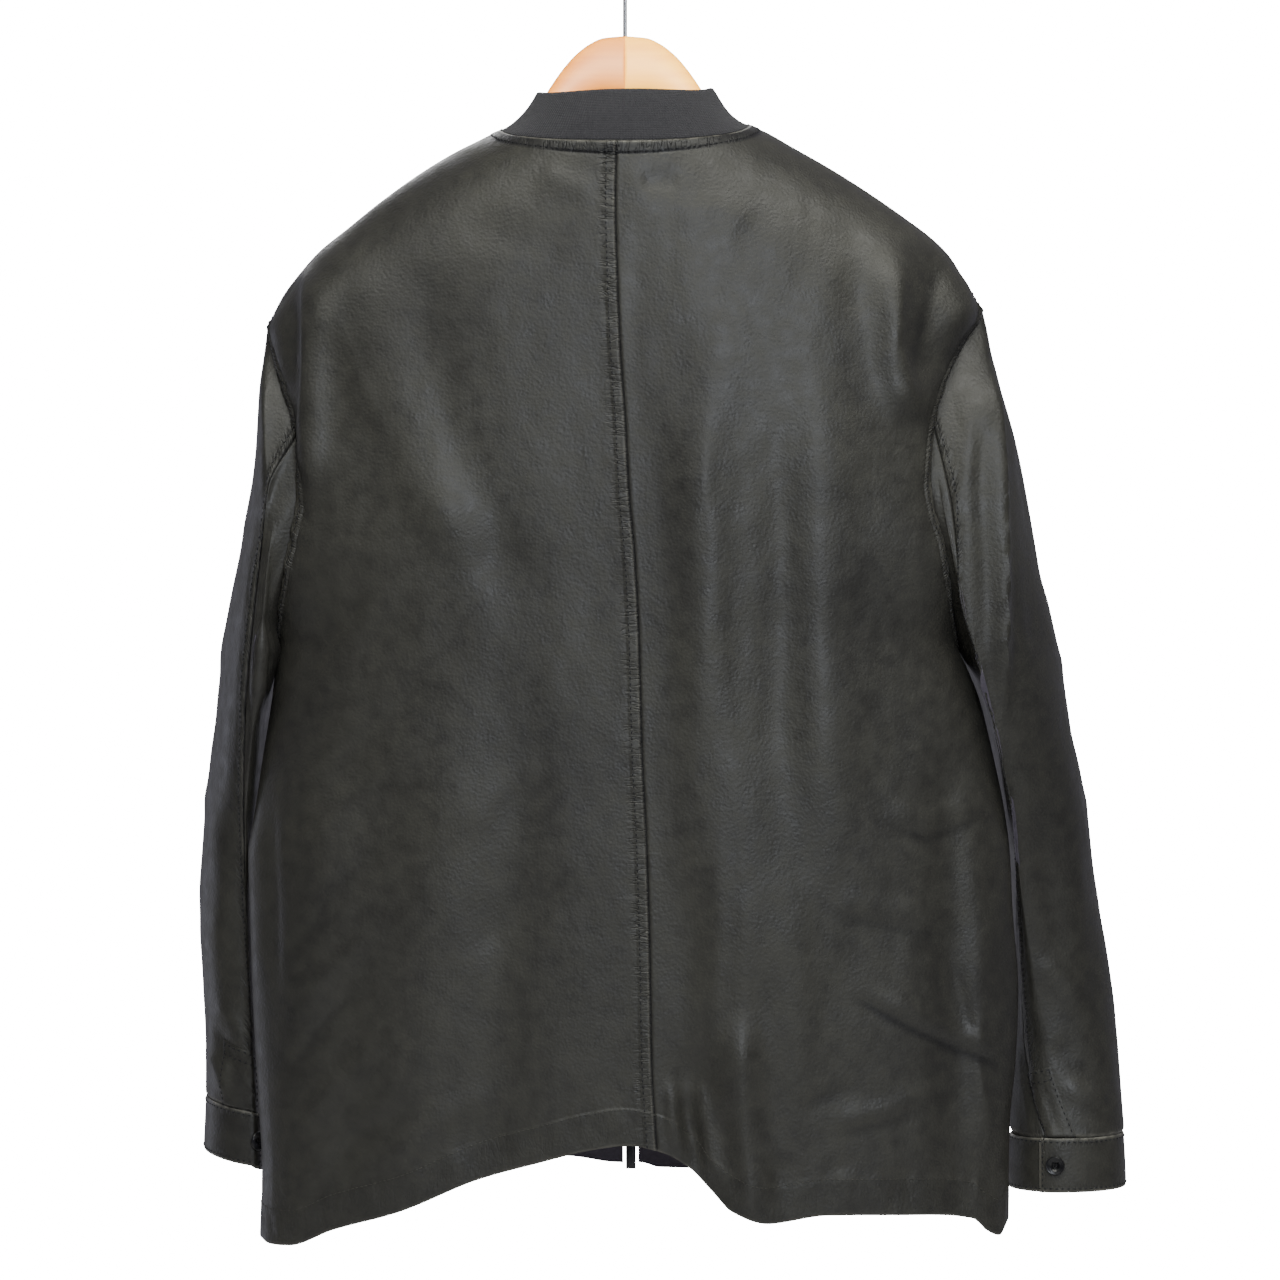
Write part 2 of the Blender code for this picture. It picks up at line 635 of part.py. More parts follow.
def add_wall(name, outer, inner, finish_name):
    """A closed thin wall between two grids of the same size."""
    rows, columns = outer.shape[:2]
    count = rows * columns
    faces = grid_faces(rows, columns, 0, False) + grid_faces(rows, columns, count, True)
    rim = list(range(columns))
    rim += [row * columns + columns - 1 for row in range(1, rows)]
    rim += [(rows - 1) * columns + column for column in range(columns - 2, -1, -1)]
    rim += [row * columns for row in range(rows - 2, 0, -1)]
    points = np.concatenate([outer.reshape(-1, 3), inner.reshape(-1, 3)])
    height = points @ RIM_ORDER
    for here, there in zip(rim, rim[1:] + rim[:1]):
        if height[here] > height[there]:
            faces += [(there, here, here + count), (there, here + count, there + count)]
        else:
            faces += [(there, here, there + count), (here, here + count, there + count)]
    made = add_object(name, points, faces, finish_name)
    outward(made)
    return made


def outward(made):
    """Turns a closed mesh's faces out."""
    shape = bmesh.new()
    shape.from_mesh(made.data)
    if shape.calc_volume(signed=True) < 0:
        bmesh.ops.reverse_faces(shape, faces=shape.faces)
    shape.to_mesh(made.data)
    shape.free()


def loft(name, sections, finish_name):
    """A closed solid through sections of equal point counts, capped at both ends."""
    sides = len(sections[0])
    points = [point for section in sections for point in section]
    faces = [tuple(range(sides))[::-1]]
    for index in range(len(sections) - 1):
        first, second = index * sides, (index + 1) * sides
        for side in range(sides):
            after = (side + 1) % sides
            faces.append((first + side, first + after, second + after))
            faces.append((first + side, second + after, second + side))
    last = (len(sections) - 1) * sides
    faces.append(tuple(range(last, last + sides)))
    made = add_object(name, points, faces, finish_name)
    outward(made)
    return made


def extruded(name, outline, low, high, axis, finish_name):
    """A flat outline in the plane square to axis (0 is X, 1 is Y), drawn out from low to high."""
    points = []
    for offset in (low, high):
        for first, second in outline:
            points.append((offset, first, second) if axis == 0 else (first, offset, second))
    count = len(outline)
    faces = [tuple(range(count)), tuple(range(2 * count - 1, count - 1, -1))]
    for here in range(count):
        after = (here + 1) % count
        faces.append((after, here, here + count, after + count))
    made = add_object(name, points, faces, finish_name, smooth=False)
    outward(made)
    return made


def boolean(target, cutter, operation):
    cutter.hide_render = True
    cutter.display_type = "WIRE"
    modifier = target.modifiers.new(operation.lower(), "BOOLEAN")
    modifier.operation = operation
    modifier.solver = "EXACT"
    modifier.object = cutter


def make_body(grids, shared):
    for side in SIDES:
        for face in ("back", "front"):
            outer, inner = wall(grids[side, face], shared, LEATHER)
            add_wall(f"{face}_{side}", outer, inner, "leather")


def make_sleeves(grids, shared):
    for side in SIDES:
        for piece in ("upper", "under"):
            outer, inner = wall(grids[side, piece], shared, LEATHER)
            add_wall(f"sleeve_{piece}_{side}", outer, inner, "leather")


def cuff_ring(side, bottom_share):
    """The sleeve's last ring, let down by part of the cuff's depth and flared a little."""
    ring = (SLEEVE_LEFT if side == "left" else SLEEVE_RIGHT)[-1]
    drop = CUFF_DEEP * bottom_share
    flare = CUFF_FLARE * bottom_share
    return ring._replace(
        over=ring.over + drop, under=ring.under + drop, out=ring.out + flare, back=ring.back - flare
    )


def cuff(side):
    """The band round the wrist: its outer end laps over the inner one behind the arm."""
    ring = cuff_ring(side, 0)
    start = -(ring.seam + CUFF_PAST_SEAM)
    finish = start + 360.0 + CUFF_LAP
    grid = np.zeros((CUFF_ROWS + 1, CUFF_STEPS + 1, 3))
    for row in range(CUFF_ROWS + 1):
        section = cuff_ring(side, CUFF_START + (1 - CUFF_START) * row / CUFF_ROWS)
        for column, angle in enumerate(np.linspace(start, finish, CUFF_STEPS + 1)):
            grid[row, column] = ring_point(side, section, angle)
    turned = np.linspace(0, 360.0 + CUFF_LAP, CUFF_STEPS + 1)
    lift = CUFF_LAP_LIFT * (1 - smooth_step(turned / CUFF_LAP_FADE))
    if side == "left":
        grid, lift = grid[:, ::-1], lift[::-1]
    return grid + unit(grid_normals(grid)[..., :3]) * lift[None, :, None]


def make_cuffs():
    for side in SIDES:
        band = cuff(side)
        outer, inner = wall(band, {}, CUFF_CLOTH, rim_rows=False, rim_columns=False)
        add_wall(f"cuff_{side}", outer, inner, "leather")


def make_collar(grids, shared):
    outer, inner = wall(grids["collar"], shared, RIB_KNIT, rim_columns=False)
    add_wall("collar_rib", outer, inner, "rib")


def strip_row(points, offset, across):
    """Points of one row of a front panel, read at distances from the front edge's zip."""
    x = offset + across
    order = np.argsort(points[:, 0])
    ordered = points[order]
    return np.stack([x] + [np.interp(x, ordered[:, 0], ordered[:, i]) for i in (1, 2)], axis=1)


def zip_tape(side):
    """One tape's outer points, read from the front panel that it is sewn behind."""
    front = panel(side, "front")
    across = SIDES[side] * np.array([CHAIN_HALF + SEAM_GAP, FRONT_EDGE, TAPE_OUTER])
    rows = []
    for row in np.linspace(TAPE_FIRST_ROW, TAPE_LAST_ROW, TAPE_ROWS):
        above = int(row)
        points = front[above] + (front[above + 1] - front[above]) * (row - above)
        rows.append(strip_row(points, zip_line(-points[0, 2]), across))
    grid = np.array(rows)
    return grid if side == "left" else grid[:, ::-1]


def make_zip():
    for side in SIDES:
        outer, inner = wall(zip_tape(side), {}, TAPE_CLOTH, -LEATHER - SEAM_GAP, False, False)
        add_wall(f"zip_tape_{side}", outer, inner, "tape")
    middle = FRONT_DEPTH - LEATHER - SEAM_GAP - TAPE_CLOTH / 2
    strips = (
        ("zip_chain", CHAIN_TOP_DOWN, CHAIN_END_DOWN, CHAIN_HALF, CHAIN_THICK, "zip_metal"),
        ("zip_box", CHAIN_END_DOWN + SEAM_GAP, BOX_END_DOWN, BOX_HALF, BOX_THICK, "zip_metal"),
    )
    for name, top, end, half, thick, finish_name in strips:
        outline = [
            (zip_line(top) - half, -top),
            (zip_line(top) + half, -top),
            (zip_line(end) + half, -end),
            (zip_line(end) - half, -end),
        ]
        extruded(name, outline, middle - thick / 2, middle + thick / 2, 1, finish_name)
    make_slider(middle)


def make_slider(middle):
    """The slider: two plates joined by a crown over the chain's end, and a bridge for the tab."""
    x = zip_line(CHAIN_TOP_DOWN)
    top = -(CHAIN_TOP_DOWN - SLIDER_CROWN)
    foot = top - SLIDER_TALL
    inside = CHAIN_THICK / 2 + SEAM_GAP
    face = middle + inside + SLIDER_WALL
    shoulder = top - SLIDER_CROWN - SLIDER_FLARE
    neck = -CHAIN_TOP_DOWN
    outline = [
        (x - CHAIN_HALF, neck),
        (x - CHAIN_HALF, top),
        (x + CHAIN_HALF, top),
        (x + CHAIN_HALF, neck),
        (x + SLIDER_HALF, shoulder),
        (x + SLIDER_HALF - SLIDER_TAPER, foot),
        (x - SLIDER_HALF + SLIDER_TAPER, foot),
        (x - SLIDER_HALF, shoulder),
    ]
    slider = extruded("zip_slider", outline, 2 * middle - face, face, 1, "zip_metal")
    roof = -CHAIN_TOP_DOWN + SEAM_GAP
    slot = [(middle - inside, roof), (middle + inside, roof)]
    slot += [(middle + inside, foot - CUTTER_PAST), (middle - inside, foot - CUTTER_PAST)]
    reach = SLIDER_HALF + CUTTER_PAST
    boolean(slider, extruded("slider_slot", slot, x - reach, x + reach, 0, "zip_metal"), "DIFFERENCE")

    centre = (top + foot) / 2
    sunk = face - SLIDER_WALL / 2
    bar = face + TUNNEL
    leg = BRIDGE_REACH - BRIDGE_BAR
    arch = [
        (sunk, centre - BRIDGE_REACH),
        (bar + BRIDGE_BAR - BRIDGE_CHAMFER, centre - BRIDGE_REACH),
        (bar + BRIDGE_BAR, centre - leg),
        (bar + BRIDGE_BAR, centre + leg),
        (bar + BRIDGE_BAR - BRIDGE_CHAMFER, centre + BRIDGE_REACH),
        (sunk, centre + BRIDGE_REACH),
        (sunk, centre + leg),
        (bar, centre + leg),
        (bar, centre - leg),
        (sunk, centre - leg),
    ]
    bridge = extruded("slider_bridge", arch, x - BRIDGE_HALF, x + BRIDGE_HALF, 0, "zip_metal")
    boolean(slider, bridge, "UNION")
    make_pull_tab((x, face + TUNNEL / 2, centre - TAB_PIVOT_LOW))


def make_pull_tab(pivot):
    """The tab hangs from a cross bar in the slider's tunnel; its origin is on that bar's axis."""
    half = TAB_THICK / 2
    outline = [
        (-TAB_HALF + TAB_HEAD_CHAMFER, half),
        (TAB_HALF - TAB_HEAD_CHAMFER, half),
        (TAB_HALF, half - TAB_HEAD_CHAMFER),
        (TAB_HALF, -TAB_LONG + TAB_END_UP),
        (TAB_HALF - TAB_END_IN, -TAB_LONG),
        (-TAB_HALF + TAB_END_IN, -TAB_LONG),
        (-TAB_HALF, -TAB_LONG + TAB_END_UP),
        (-TAB_HALF, half - TAB_HEAD_CHAMFER),
    ]
    tab = extruded("zip_pull_tab", outline, -half, half, 1, "zip_metal")
    eye = [
        (-TAB_EYE_HALF, -half),
        (TAB_EYE_HALF, -half),
        (TAB_EYE_HALF, -TAB_EYE_END),
        (-TAB_EYE_HALF, -TAB_EYE_END),
    ]
    cutter = extruded("tab_eye", eye, -TAB_THICK, TAB_THICK, 1, "zip_metal")
    boolean(tab, cutter, "DIFFERENCE")
    for made in (tab, cutter):
        made.location = [value * MM for value in pivot]


def make_plackets(grids):
    """The strip that finishes the sleeve's slit, on the upper sleeve beside the back seam."""
    for side in SIDES:
        upper = grids[side, "upper"][-PLACKET_ROWS:]
        strip = (upper[:, -3:] if side == "left" else upper[:, :2]).copy()
        strip[-1, :, 2] += PLACKET_CLEAR
        outer, inner = wall(strip, {}, PLACKET_CLOTH, SEAM_GAP + PLACKET_CLOTH, False, False)
        add_wall(f"placket_{side}", outer, inner, "leather")


def make_buttons():
    """A flat button on each cuff's outer lap, square to the cloth."""
    for side in SIDES:
        band = cuff(side)
        turned = CUFF_STEPS * (BUTTON_TURN / (360.0 + CUFF_LAP))
        column = CUFF_STEPS - turned if side == "left" else turned
        first = int(column)
        row = CUFF_ROWS // 2
        seat = band[row, first] + (band[row, first + 1] - band[row, first]) * (column - first)
        aside = unit(band[row, first + 1] - band[row, first])
        ahead = unit(band[-1, first] - band[0, first])
        outward_way = unit(np.cross(ahead, aside))
        ahead = np.cross(aside, outward_way)
        sections = []
        for height, radius in BUTTON_PROFILE:
            ring = []
            for angle in np.linspace(0, 2 * math.pi, BUTTON_SIDES, endpoint=False):
                around = aside * math.cos(angle) + ahead * math.sin(angle)
                ring.append(seat + around * radius + outward_way * (SEAM_GAP + height))
            sections.append(ring)
        loft(f"cuff_button_{side}", sections, "button")


def hanger_top(side, out):
    """How far down the wood's top lies: the arch at the neck, then just under the shoulder."""
    from_seam = max(out, NECK_OUT)
    under = eased(RIDGE, "out", side)(from_seam) + eased(HANGER_SECTION, "out", "under")(from_seam)
    if out >= NECK_OUT:
        return under
    line = HANGER_NECK + (HangerTop(NECK_OUT, float(under)),)
    return eased(line, "out", "down")(out)


def make_hanger():
    stations = np.arange(0.0, HANGER_TIP, HANGER_STEP)
    stations = np.concatenate([stations, [HANGER_SECTION[-2].out, HANGER_TIP]])
    stations[0] = SEAM_GAP / 2
    for side, sign in SIDES.items():
        sections = []
        for out in stations:
            tall = eased(HANGER_SECTION, "out", "tall")(out)
            wide = eased(HANGER_SECTION, "out", "wide")(out)
            top = hanger_top(side, out)
            behind = eased(HANGER_SECTION, "out", "back")(out)
            depth = SHOULDER_SWEEP * (out / SHOULDER_OUT) ** 2 - behind
            ring = []
            for angle in np.linspace(0, 2 * math.pi, HANGER_SIDES, endpoint=False):
                cosine, sine = math.cos(angle), math.sin(angle)
                across = math.copysign(abs(cosine) ** HANGER_SOFTNESS, cosine)
                upward = math.copysign(abs(sine) ** HANGER_SOFTNESS, sine)
                ring.append((sign * out, depth + across * wide / 2, -top - tall / 2 * (1 - upward)))
            sections.append(ring)
        wood = loft(f"hanger_{side}", sections, "wood")
        boolean(wood, stem_hole(side), "DIFFERENCE")


def stem_hole(side):
    """The cutter for the hook's hole, on the join of the two halves."""
    ring = [
        (STEM_HOLE_RADIUS * math.cos(angle), STEM_HOLE_RADIUS * math.sin(angle))
        for angle in np.linspace(0, 2 * math.pi, STEM_HOLE_SIDES, endpoint=False)
    ]
    ends = (-STEM_HOLE_FOOT, -HANGER_NECK[0].down + CUTTER_PAST)
    sections = [[(x, y, z) for x, y in ring] for z in ends]
    return loft(f"stem_hole_{side}", sections, "wood")


def make_hook():
    """A bent wire: the stem, a sideways swing, and the open round that bears on the rail."""
    path = [(0.0, z) for z in np.linspace(-HOOK_STEM_FOOT, -HOOK_BEND_DOWN, HOOK_STEM_POINTS)]
    centre = WIRE_RADIUS - HOOK_RADIUS
    for part in np.linspace(0, 1, HOOK_SWING_POINTS)[1:]:
        height = -HOOK_BEND_DOWN + (centre + HOOK_BEND_DOWN) * part
        path.append((HOOK_RADIUS * float(smooth_step(part)), height))
    for angle in np.linspace(0, math.pi, HOOK_ROUND_POINTS)[1:]:
        path.append((HOOK_RADIUS * math.cos(angle), centre + HOOK_RADIUS * math.sin(angle)))
    path.append((-HOOK_RADIUS, centre - HOOK_TAIL))
    curve = bpy.data.curves.new("hanger_hook", "CURVE")
    curve.dimensions = "3D"
    curve.bevel_depth = WIRE_RADIUS * MM
    curve.bevel_resolution = 2
    curve.use_fill_caps = True
    spline = curve.splines.new("POLY")
    spline.points.add(len(path) - 1)
    for point, (x, z) in zip(spline.points, path):
        point.co = (x * MM, 0.0, z * MM, 1.0)
    hook = bpy.data.objects.new("hanger_hook", curve)
    curve.materials.append(material("steel"))
    bpy.context.scene.collection.objects.link(hook)


def clear_scene():
    for made in list(bpy.data.objects):
        bpy.data.objects.remove(made, do_unlink=True)


def body_grids():
    """Every sewn piece's outer grid, each ordered so that its own normals point out."""
    panels = {(side, face): panel(side, face) for side in SIDES for face in ("back", "front")}
    grids = {}
    for (side, face), grid in panels.items():
        turn = (side == "left") == (face == "back")
        grids[side, face] = grid[:, ::-1] if turn else grid
    for side in SIDES:
        tube = sleeve(side)
        for name, piece in zip(("upper", "under"), upper_and_under(tube)):
            grids[side, name] = piece[:, ::-1] if side == "left" else piece
    grids["collar"] = collar(panels)
    return grids


def main():
    clear_scene()
    grids = body_grids()
    shared = seam_normals(grids)
    make_body(grids, shared)
    make_sleeves(grids, shared)
    make_collar(grids, shared)
    make_cuffs()
    make_plackets(grids)
    make_buttons()
    make_zip()
    make_hanger()
    make_hook()


main()
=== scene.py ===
"""Dresses a packed leather jacket on its hanger: fine cloth, stitching, zip teeth, wood and wire.

Every cloth piece is a thin shell on the form of its solid, made from the same tables, with its
creases, seams and turned edges added. Lengths are millimetres, and MM turns them to metres.
The origin is the hook's bearing point, +Z is up, the jacket's back faces -Y, and the wearer's
left arm is at -X. "down" is the distance below the origin, and "out" the distance from the
hook's line, whichever side.
"""

import logging
import math
from collections.abc import Callable, Sequence
from dataclasses import dataclass, field
from enum import Enum
from typing import Any, NamedTuple

import bmesh
import bpy
import numpy as np
from bpy.types import Material, Mesh, Node, NodeSocket, NodeTree, Object
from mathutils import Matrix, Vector


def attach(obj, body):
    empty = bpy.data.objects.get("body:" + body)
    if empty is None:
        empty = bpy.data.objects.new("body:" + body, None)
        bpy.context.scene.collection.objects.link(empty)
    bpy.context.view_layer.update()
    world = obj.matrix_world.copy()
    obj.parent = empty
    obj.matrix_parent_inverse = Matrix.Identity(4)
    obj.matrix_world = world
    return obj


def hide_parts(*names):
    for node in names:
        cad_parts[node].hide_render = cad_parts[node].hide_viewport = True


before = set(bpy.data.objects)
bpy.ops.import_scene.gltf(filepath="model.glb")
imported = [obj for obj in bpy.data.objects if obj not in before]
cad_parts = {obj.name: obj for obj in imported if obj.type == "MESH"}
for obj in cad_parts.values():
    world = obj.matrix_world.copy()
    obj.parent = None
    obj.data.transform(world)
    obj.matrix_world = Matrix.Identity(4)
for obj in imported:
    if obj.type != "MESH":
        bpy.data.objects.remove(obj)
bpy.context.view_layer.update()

MM = 0.001
JACKET = "jacket"
PULL_TAB = "pull_tab"
log = logging.getLogger("jacket")


class Side(Enum):
    """The wearer's left or right."""

    LEFT = "left"
    RIGHT = "right"

    @property
    def sign(self) -> int:
        """Which way the side lies along X."""
        return -1 if self is Side.LEFT else 1


class Face(Enum):
    """The back or the front of the body."""

    BACK = "back"
    FRONT = "front"


class Edge(Enum):
    """An edge of a cloth grid: its first or last row, or its first or last column."""

    TOP = "top"
    FOOT = "foot"
    FIRST = "first"
    LAST = "last"


# ---- The garment's sizes: the same tables that its solids are made from ----


def table(kind: type, *rows: tuple[Any, ...]) -> tuple[Any, ...]:
    """Rows of one kind from their plain values."""
    return tuple(kind(*row) for row in rows)


class Ridge(NamedTuple):
    """The shoulder seam's distance down, on each side."""

    out: float
    left: float
    right: float


class Armhole(NamedTuple):
    """The armhole from the shoulder point (0) to the underarm (1): out, and its depth."""

    part: float
    back_left: float
    back_right: float
    front_left: float
    front_right: float
    back: float
    front: float


class SideSeam(NamedTuple):
    """How far out a side seam lies."""

    down: float
    left: float
    right: float


class Spine(NamedTuple):
    """The centre-back seam's place."""

    down: float
    across: float
    deep: float


class Hem(NamedTuple):
    """The hem's edge."""

    across: float
    down: float


class Fold(NamedTuple):
    """A soft straight roll (+) or trough (-) of the hanging cloth, between its two ends."""

    across_top: float
    down_top: float
    across_foot: float
    down_foot: float
    half_width: float
    height: float


class Ring(NamedTuple):
    """A sleeve's section, by its distances down, out and front to back, and its seam's angle."""

    over: float
    under: float
    out: float
    ridge: float
    inner: float
    back: float
    front: float
    seam: float


class WoodTop(NamedTuple):
    """The line of the wood's top at the hanger's neck."""

    out: float
    down: float


class WoodSection(NamedTuple):
    """The wood's section, and how far its top lies under and behind the shoulder seam."""

    out: float
    tall: float
    wide: float
    under: float
    back: float


RIDGE = table(
    Ridge,
    (87, 143.5, 140),
    (100, 149.6, 145.6),
    (120, 159.5, 156.8),
    (145, 174.8, 171.1),
    (170, 192.8, 186.8),
    (195, 212.7, 204),
    (215, 228.6, 218.7),
    (228, 243, 231.5),
    (240, 258.6, 251),
    (251.5, 281, 269.5),
)
ARMHOLE = table(
    Armhole,
    (0.00, 251.5, 251.5, 251.5, 251.5, 12, 12),
    (0.18, 240, 226, 244, 238, -12, 40),
    (0.36, 227, 213.5, 236, 230, -28, 54),
    (0.54, 226, 211, 233, 228, -35, 60),
    (0.72, 233, 221, 236, 230, -33, 56),
    (0.88, 240, 227, 241, 232, -18, 36),
    (1.00, 243, 232, 243, 232, 4, 4),
)
SIDE_SEAM = table(
    SideSeam,
    (505, 243, 232),
    (526, 245.5, 242),
    (543, 247.5, 248.5),
    (578, 253, 257),
    (625, 260, 266.5),
    (650, 264, 269.5),
    (690, 263, 271.5),
    (747, 261, 275.5),
    (790, 259, 274),
    (836, 256, 270),
    (868, 254.5, 269),
    (920, 255.5, 268.5),
)
SPINE = table(
    Spine,
    (159, -5.5, 58),
    (200, -6.2, 62),
    (250, -5, 64.5),
    (300, -3, 66),
    (350, 0.5, 67),
    (400, 3, 68),
    (445, 7, 68),
    (500, 9.8, 68),
    (580, 12, 68),
    (640, 15, 68),
    (720, 17.3, 67),
    (790, 18.5, 66),
    (850, 22, 64),
)
BACK_HEM = table(
    Hem,
    (-256, 918),
    (-247, 921),
    (-233, 920.4),
    (-201, 907.5),
    (-154, 893),
    (-103, 871.5),
    (-60, 859),
    (-23, 849.6),
    (2, 846.5),
    (25, 851),
    (43, 861),
    (59, 877),
    (73, 891),
    (99, 899.7),
    (139, 895),
    (203, 896.5),
    (241, 901.5),
    (252, 911),
    (261, 915),
    (269, 905),
)
FRONT_HEM = table(
    Hem,
    (-256, 918),
    (-236, 917),
    (-200, 905),
    (-140, 884),
    (-85, 869),
    (-40, 871),
    (-4, 875.6),
    (10, 875.6),
    (25, 879),
    (80, 880),
    (140, 887),
    (200, 893),
    (245, 902),
    (269, 905),
)
BACK_FOLDS = table(
    Fold,
    (64, 300, 84, 790, 34, 6),
    (22, 420, 38, 860, 22, -4),
    (132, 300, 150, 660, 24, 4),
    (-200, 238, -120, 430, 26, 6),
    (-150, 250, -75, 470, 22, -3.5),
    (-205, 620, -235, 915, 26, 5),
    (-120, 560, -165, 900, 34, 4),
    (-70, 560, -95, 880, 24, -3.5),
    (44, 790, 50, 900, 15, -11),
    (76, 770, 86, 905, 18, 7),
    (190, 232, 197, 345, 17, 7),
    (216, 232, 206, 320, 13, -7),
    (222, 600, 230, 915, 16, -6),
    (-214, 250, -222, 400, 14, 5),
)
FRONT_FOLDS = table(
    Fold,
    (-150, 260, -95, 470, 26, 5),
    (150, 260, 100, 470, 26, 5),
    (-110, 540, -150, 890, 30, 5),
    (118, 560, 140, 885, 28, 5),
    (-70, 600, -90, 870, 22, -4),
    (70, 620, 84, 875, 22, -4),
)
SLEEVE_RINGS = {
    Side.LEFT: table(
        Ring,
        (318, 525, 256, 243, 249, -38, 66, 76),
        (372, 552, 260, 248.5, 254, -34, 80, 76),
        (430, 585, 271.5, 254, 256.5, -26, 96, 78),
        (495, 625, 285, 261.5, 260, -14, 110, 84),
        (560, 665, 294.5, 267, 262.5, 0, 120, 92),
        (625, 705, 301.5, 268.5, 262, 12, 124, 98),
        (690, 746, 305.8, 268, 260, 18, 126, 106),
        (752, 787, 302.8, 265.5, 259, 20, 125, 112),
        (792.5, 815, 301.3, 264.5, 258, 20, 124, 115),
        (826, 840, 301.3, 264, 258, 20, 123, 115),
    ),
    Side.RIGHT: table(
        Ring,
        (318, 525, 262, 222, 245, -38, 66, 85),
        (372, 552, 279, 229, 256, -40, 78, 95),
        (430, 585, 291, 241, 263, -37, 92, 105),
        (495, 625, 305, 256, 269, -30, 106, 115),
        (560, 665, 317.5, 269, 276, -16, 116, 122),
        (625, 705, 330, 277, 276, 0, 122, 128),
        (690, 745, 340.5, 286, 277, 9, 120, 133),
        (755, 790, 349.5, 298, 277, 14, 110, 135),
        (810, 820, 353, 308, 276, 12, 98, 128),
        (849.5, 851, 355, 313.5, 275, 8, 84, 115),
    ),
}
WOOD_NECK = table(
    WoodTop,
    (0, 78.2),
    (15, 79.6),
    (25, 84),
    (35, 91.8),
    (43, 100.8),
    (50, 110.5),
    (60, 126),
    (72, 140),
)
WOOD_SECTION = table(
    WoodSection,
    (0, 40, 13, 8.5, 0),
    (40, 34, 12, 8.5, 0.5),
    (70, 29, 11, 8.5, 2),
    (87, 27, 11, 8.5, 3),
    (110, 26, 13, 4.6, 3),
    (160, 25, 16, 3.4, 2),
    (205, 22, 18, 3.4, 1),
    (217, 17, 14, 4.6, 1),
    (222, 8, 8, 7, 1),
)


def eased(rows: Sequence[NamedTuple], key: str, value: str) -> Callable[[Any], np.ndarray]:
    """A smooth curve, with no overshoot, through one column of a table against another.

    Args:
        rows: Rows with named columns, the key column rising.
        key: The column that the curve is read by.
        value: The column that it gives.

    Returns:
        A function of the key, for a number or an array.
    """
    knots = np.array([getattr(row, key) for row in rows], float)
    heights = np.array([getattr(row, value) for row in rows], float)
    return smooth_curve(knots, heights)


def smooth_curve(knots: np.ndarray, heights: np.ndarray) -> Callable[[Any], np.ndarray]:
    """A monotone cubic through heights at knots.

    Args:
        knots: Rising numbers.
        heights: One value a knot, or one array of values a knot.

    Returns:
        A function of an array of places between the knots.
    """
    steps = np.diff(knots).reshape(-1, *[1] * (heights.ndim - 1))
    slopes = np.diff(heights, axis=0) / steps
    tangents = np.zeros_like(heights)
    tangents[0], tangents[-1] = slopes[0], slopes[-1]
    before, after = slopes[:-1], slopes[1:]
    rising = before * after > 0
    total = np.where(rising, before + after, 1.0)
    tangents[1:-1] = np.where(rising, 2 * before * after / total, 0.0)

    def curve(at: Any) -> np.ndarray:
        """The curve's value at a place."""
        at = np.clip(at, knots[0], knots[-1])
        cell = np.clip(np.searchsorted(knots, at, side="right") - 1, 0, len(steps) - 1)
        span = steps[cell]
        t = (at - knots[cell]).reshape(np.shape(span)) / span
        return (
            (1 + 2 * t) * (1 - t) ** 2 * heights[cell]
            + t * (1 - t) ** 2 * span * tangents[cell]
            + t * t * (3 - 2 * t) * heights[cell + 1]
            + t * t * (t - 1) * span * tangents[cell + 1]
        )

    return curve


def line_at(away: np.ndarray, place: float, half_width: float) -> np.ndarray:
    """1 where a distance is at a place, falling softly to 0 over a half width."""
    return np.exp(-(((away - place) / half_width) ** 2))


def smooth_step(t: Any) -> Any:
    """0 below 0, 1 above 1, and an even rise between."""
    t = np.clip(t, 0.0, 1.0)
    return t * t * (3 - 2 * t)


def unit(vectors: np.ndarray) -> np.ndarray:
    """Vectors made one long."""
    return vectors / np.maximum(np.linalg.norm(vectors, axis=-1, keepdims=True), 1e-12)


def fine_steps(count: int, each: int, close: Sequence[float] = (0.03, 0.08)) -> np.ndarray:
    """Places along a coarse grid's steps, with a few more close to both ends.

    Args:
        count: How many coarse steps there are.
        each: How many fine ones make one of them.
        close: The extra places, in coarse steps from an end.

    Returns:
        The rising places, from 0 to count.
    """
    even = np.linspace(0, count, count * each + 1)
    near = np.array(close)
    return np.unique(np.concatenate([even, near, count - near]))


def value_noise(u: np.ndarray, v: np.ndarray, cell_u: float, cell_v: float, seed: int) -> np.ndarray:
    """Smooth seeded noise between about -1 and 1 over two coordinates.

    Args:
        u: First coordinate, in millimetres.
        v: Second coordinate, in millimetres.
        cell_u: The size of a bump along u.
        cell_v: The size of a bump along v.
        seed: Which noise it is.

    Returns:
        The noise at each place.
    """
    size = 128
    lattice = np.random.default_rng(seed).uniform(-1, 1, (size, size))
    x, y = u / cell_u + 400.0, v / cell_v + 400.0
    column, row = np.floor(x).astype(int), np.floor(y).astype(int)
    tx, ty = smooth_step(x - column), smooth_step(y - row)
    west, east = column % size, (column + 1) % size
    south, north = row % size, (row + 1) % size
    low = lattice[south, west] * (1 - tx) + lattice[south, east] * tx
    high = lattice[north, west] * (1 - tx) + lattice[north, east] * tx
    return low * (1 - ty) + high * ty


class Wave(NamedTuple):
    """One size of a hide's unevenness: its height, slant, size across and along, and its seed."""

    high: float
    slant: float
    wide: float
    long: float
    seed: int


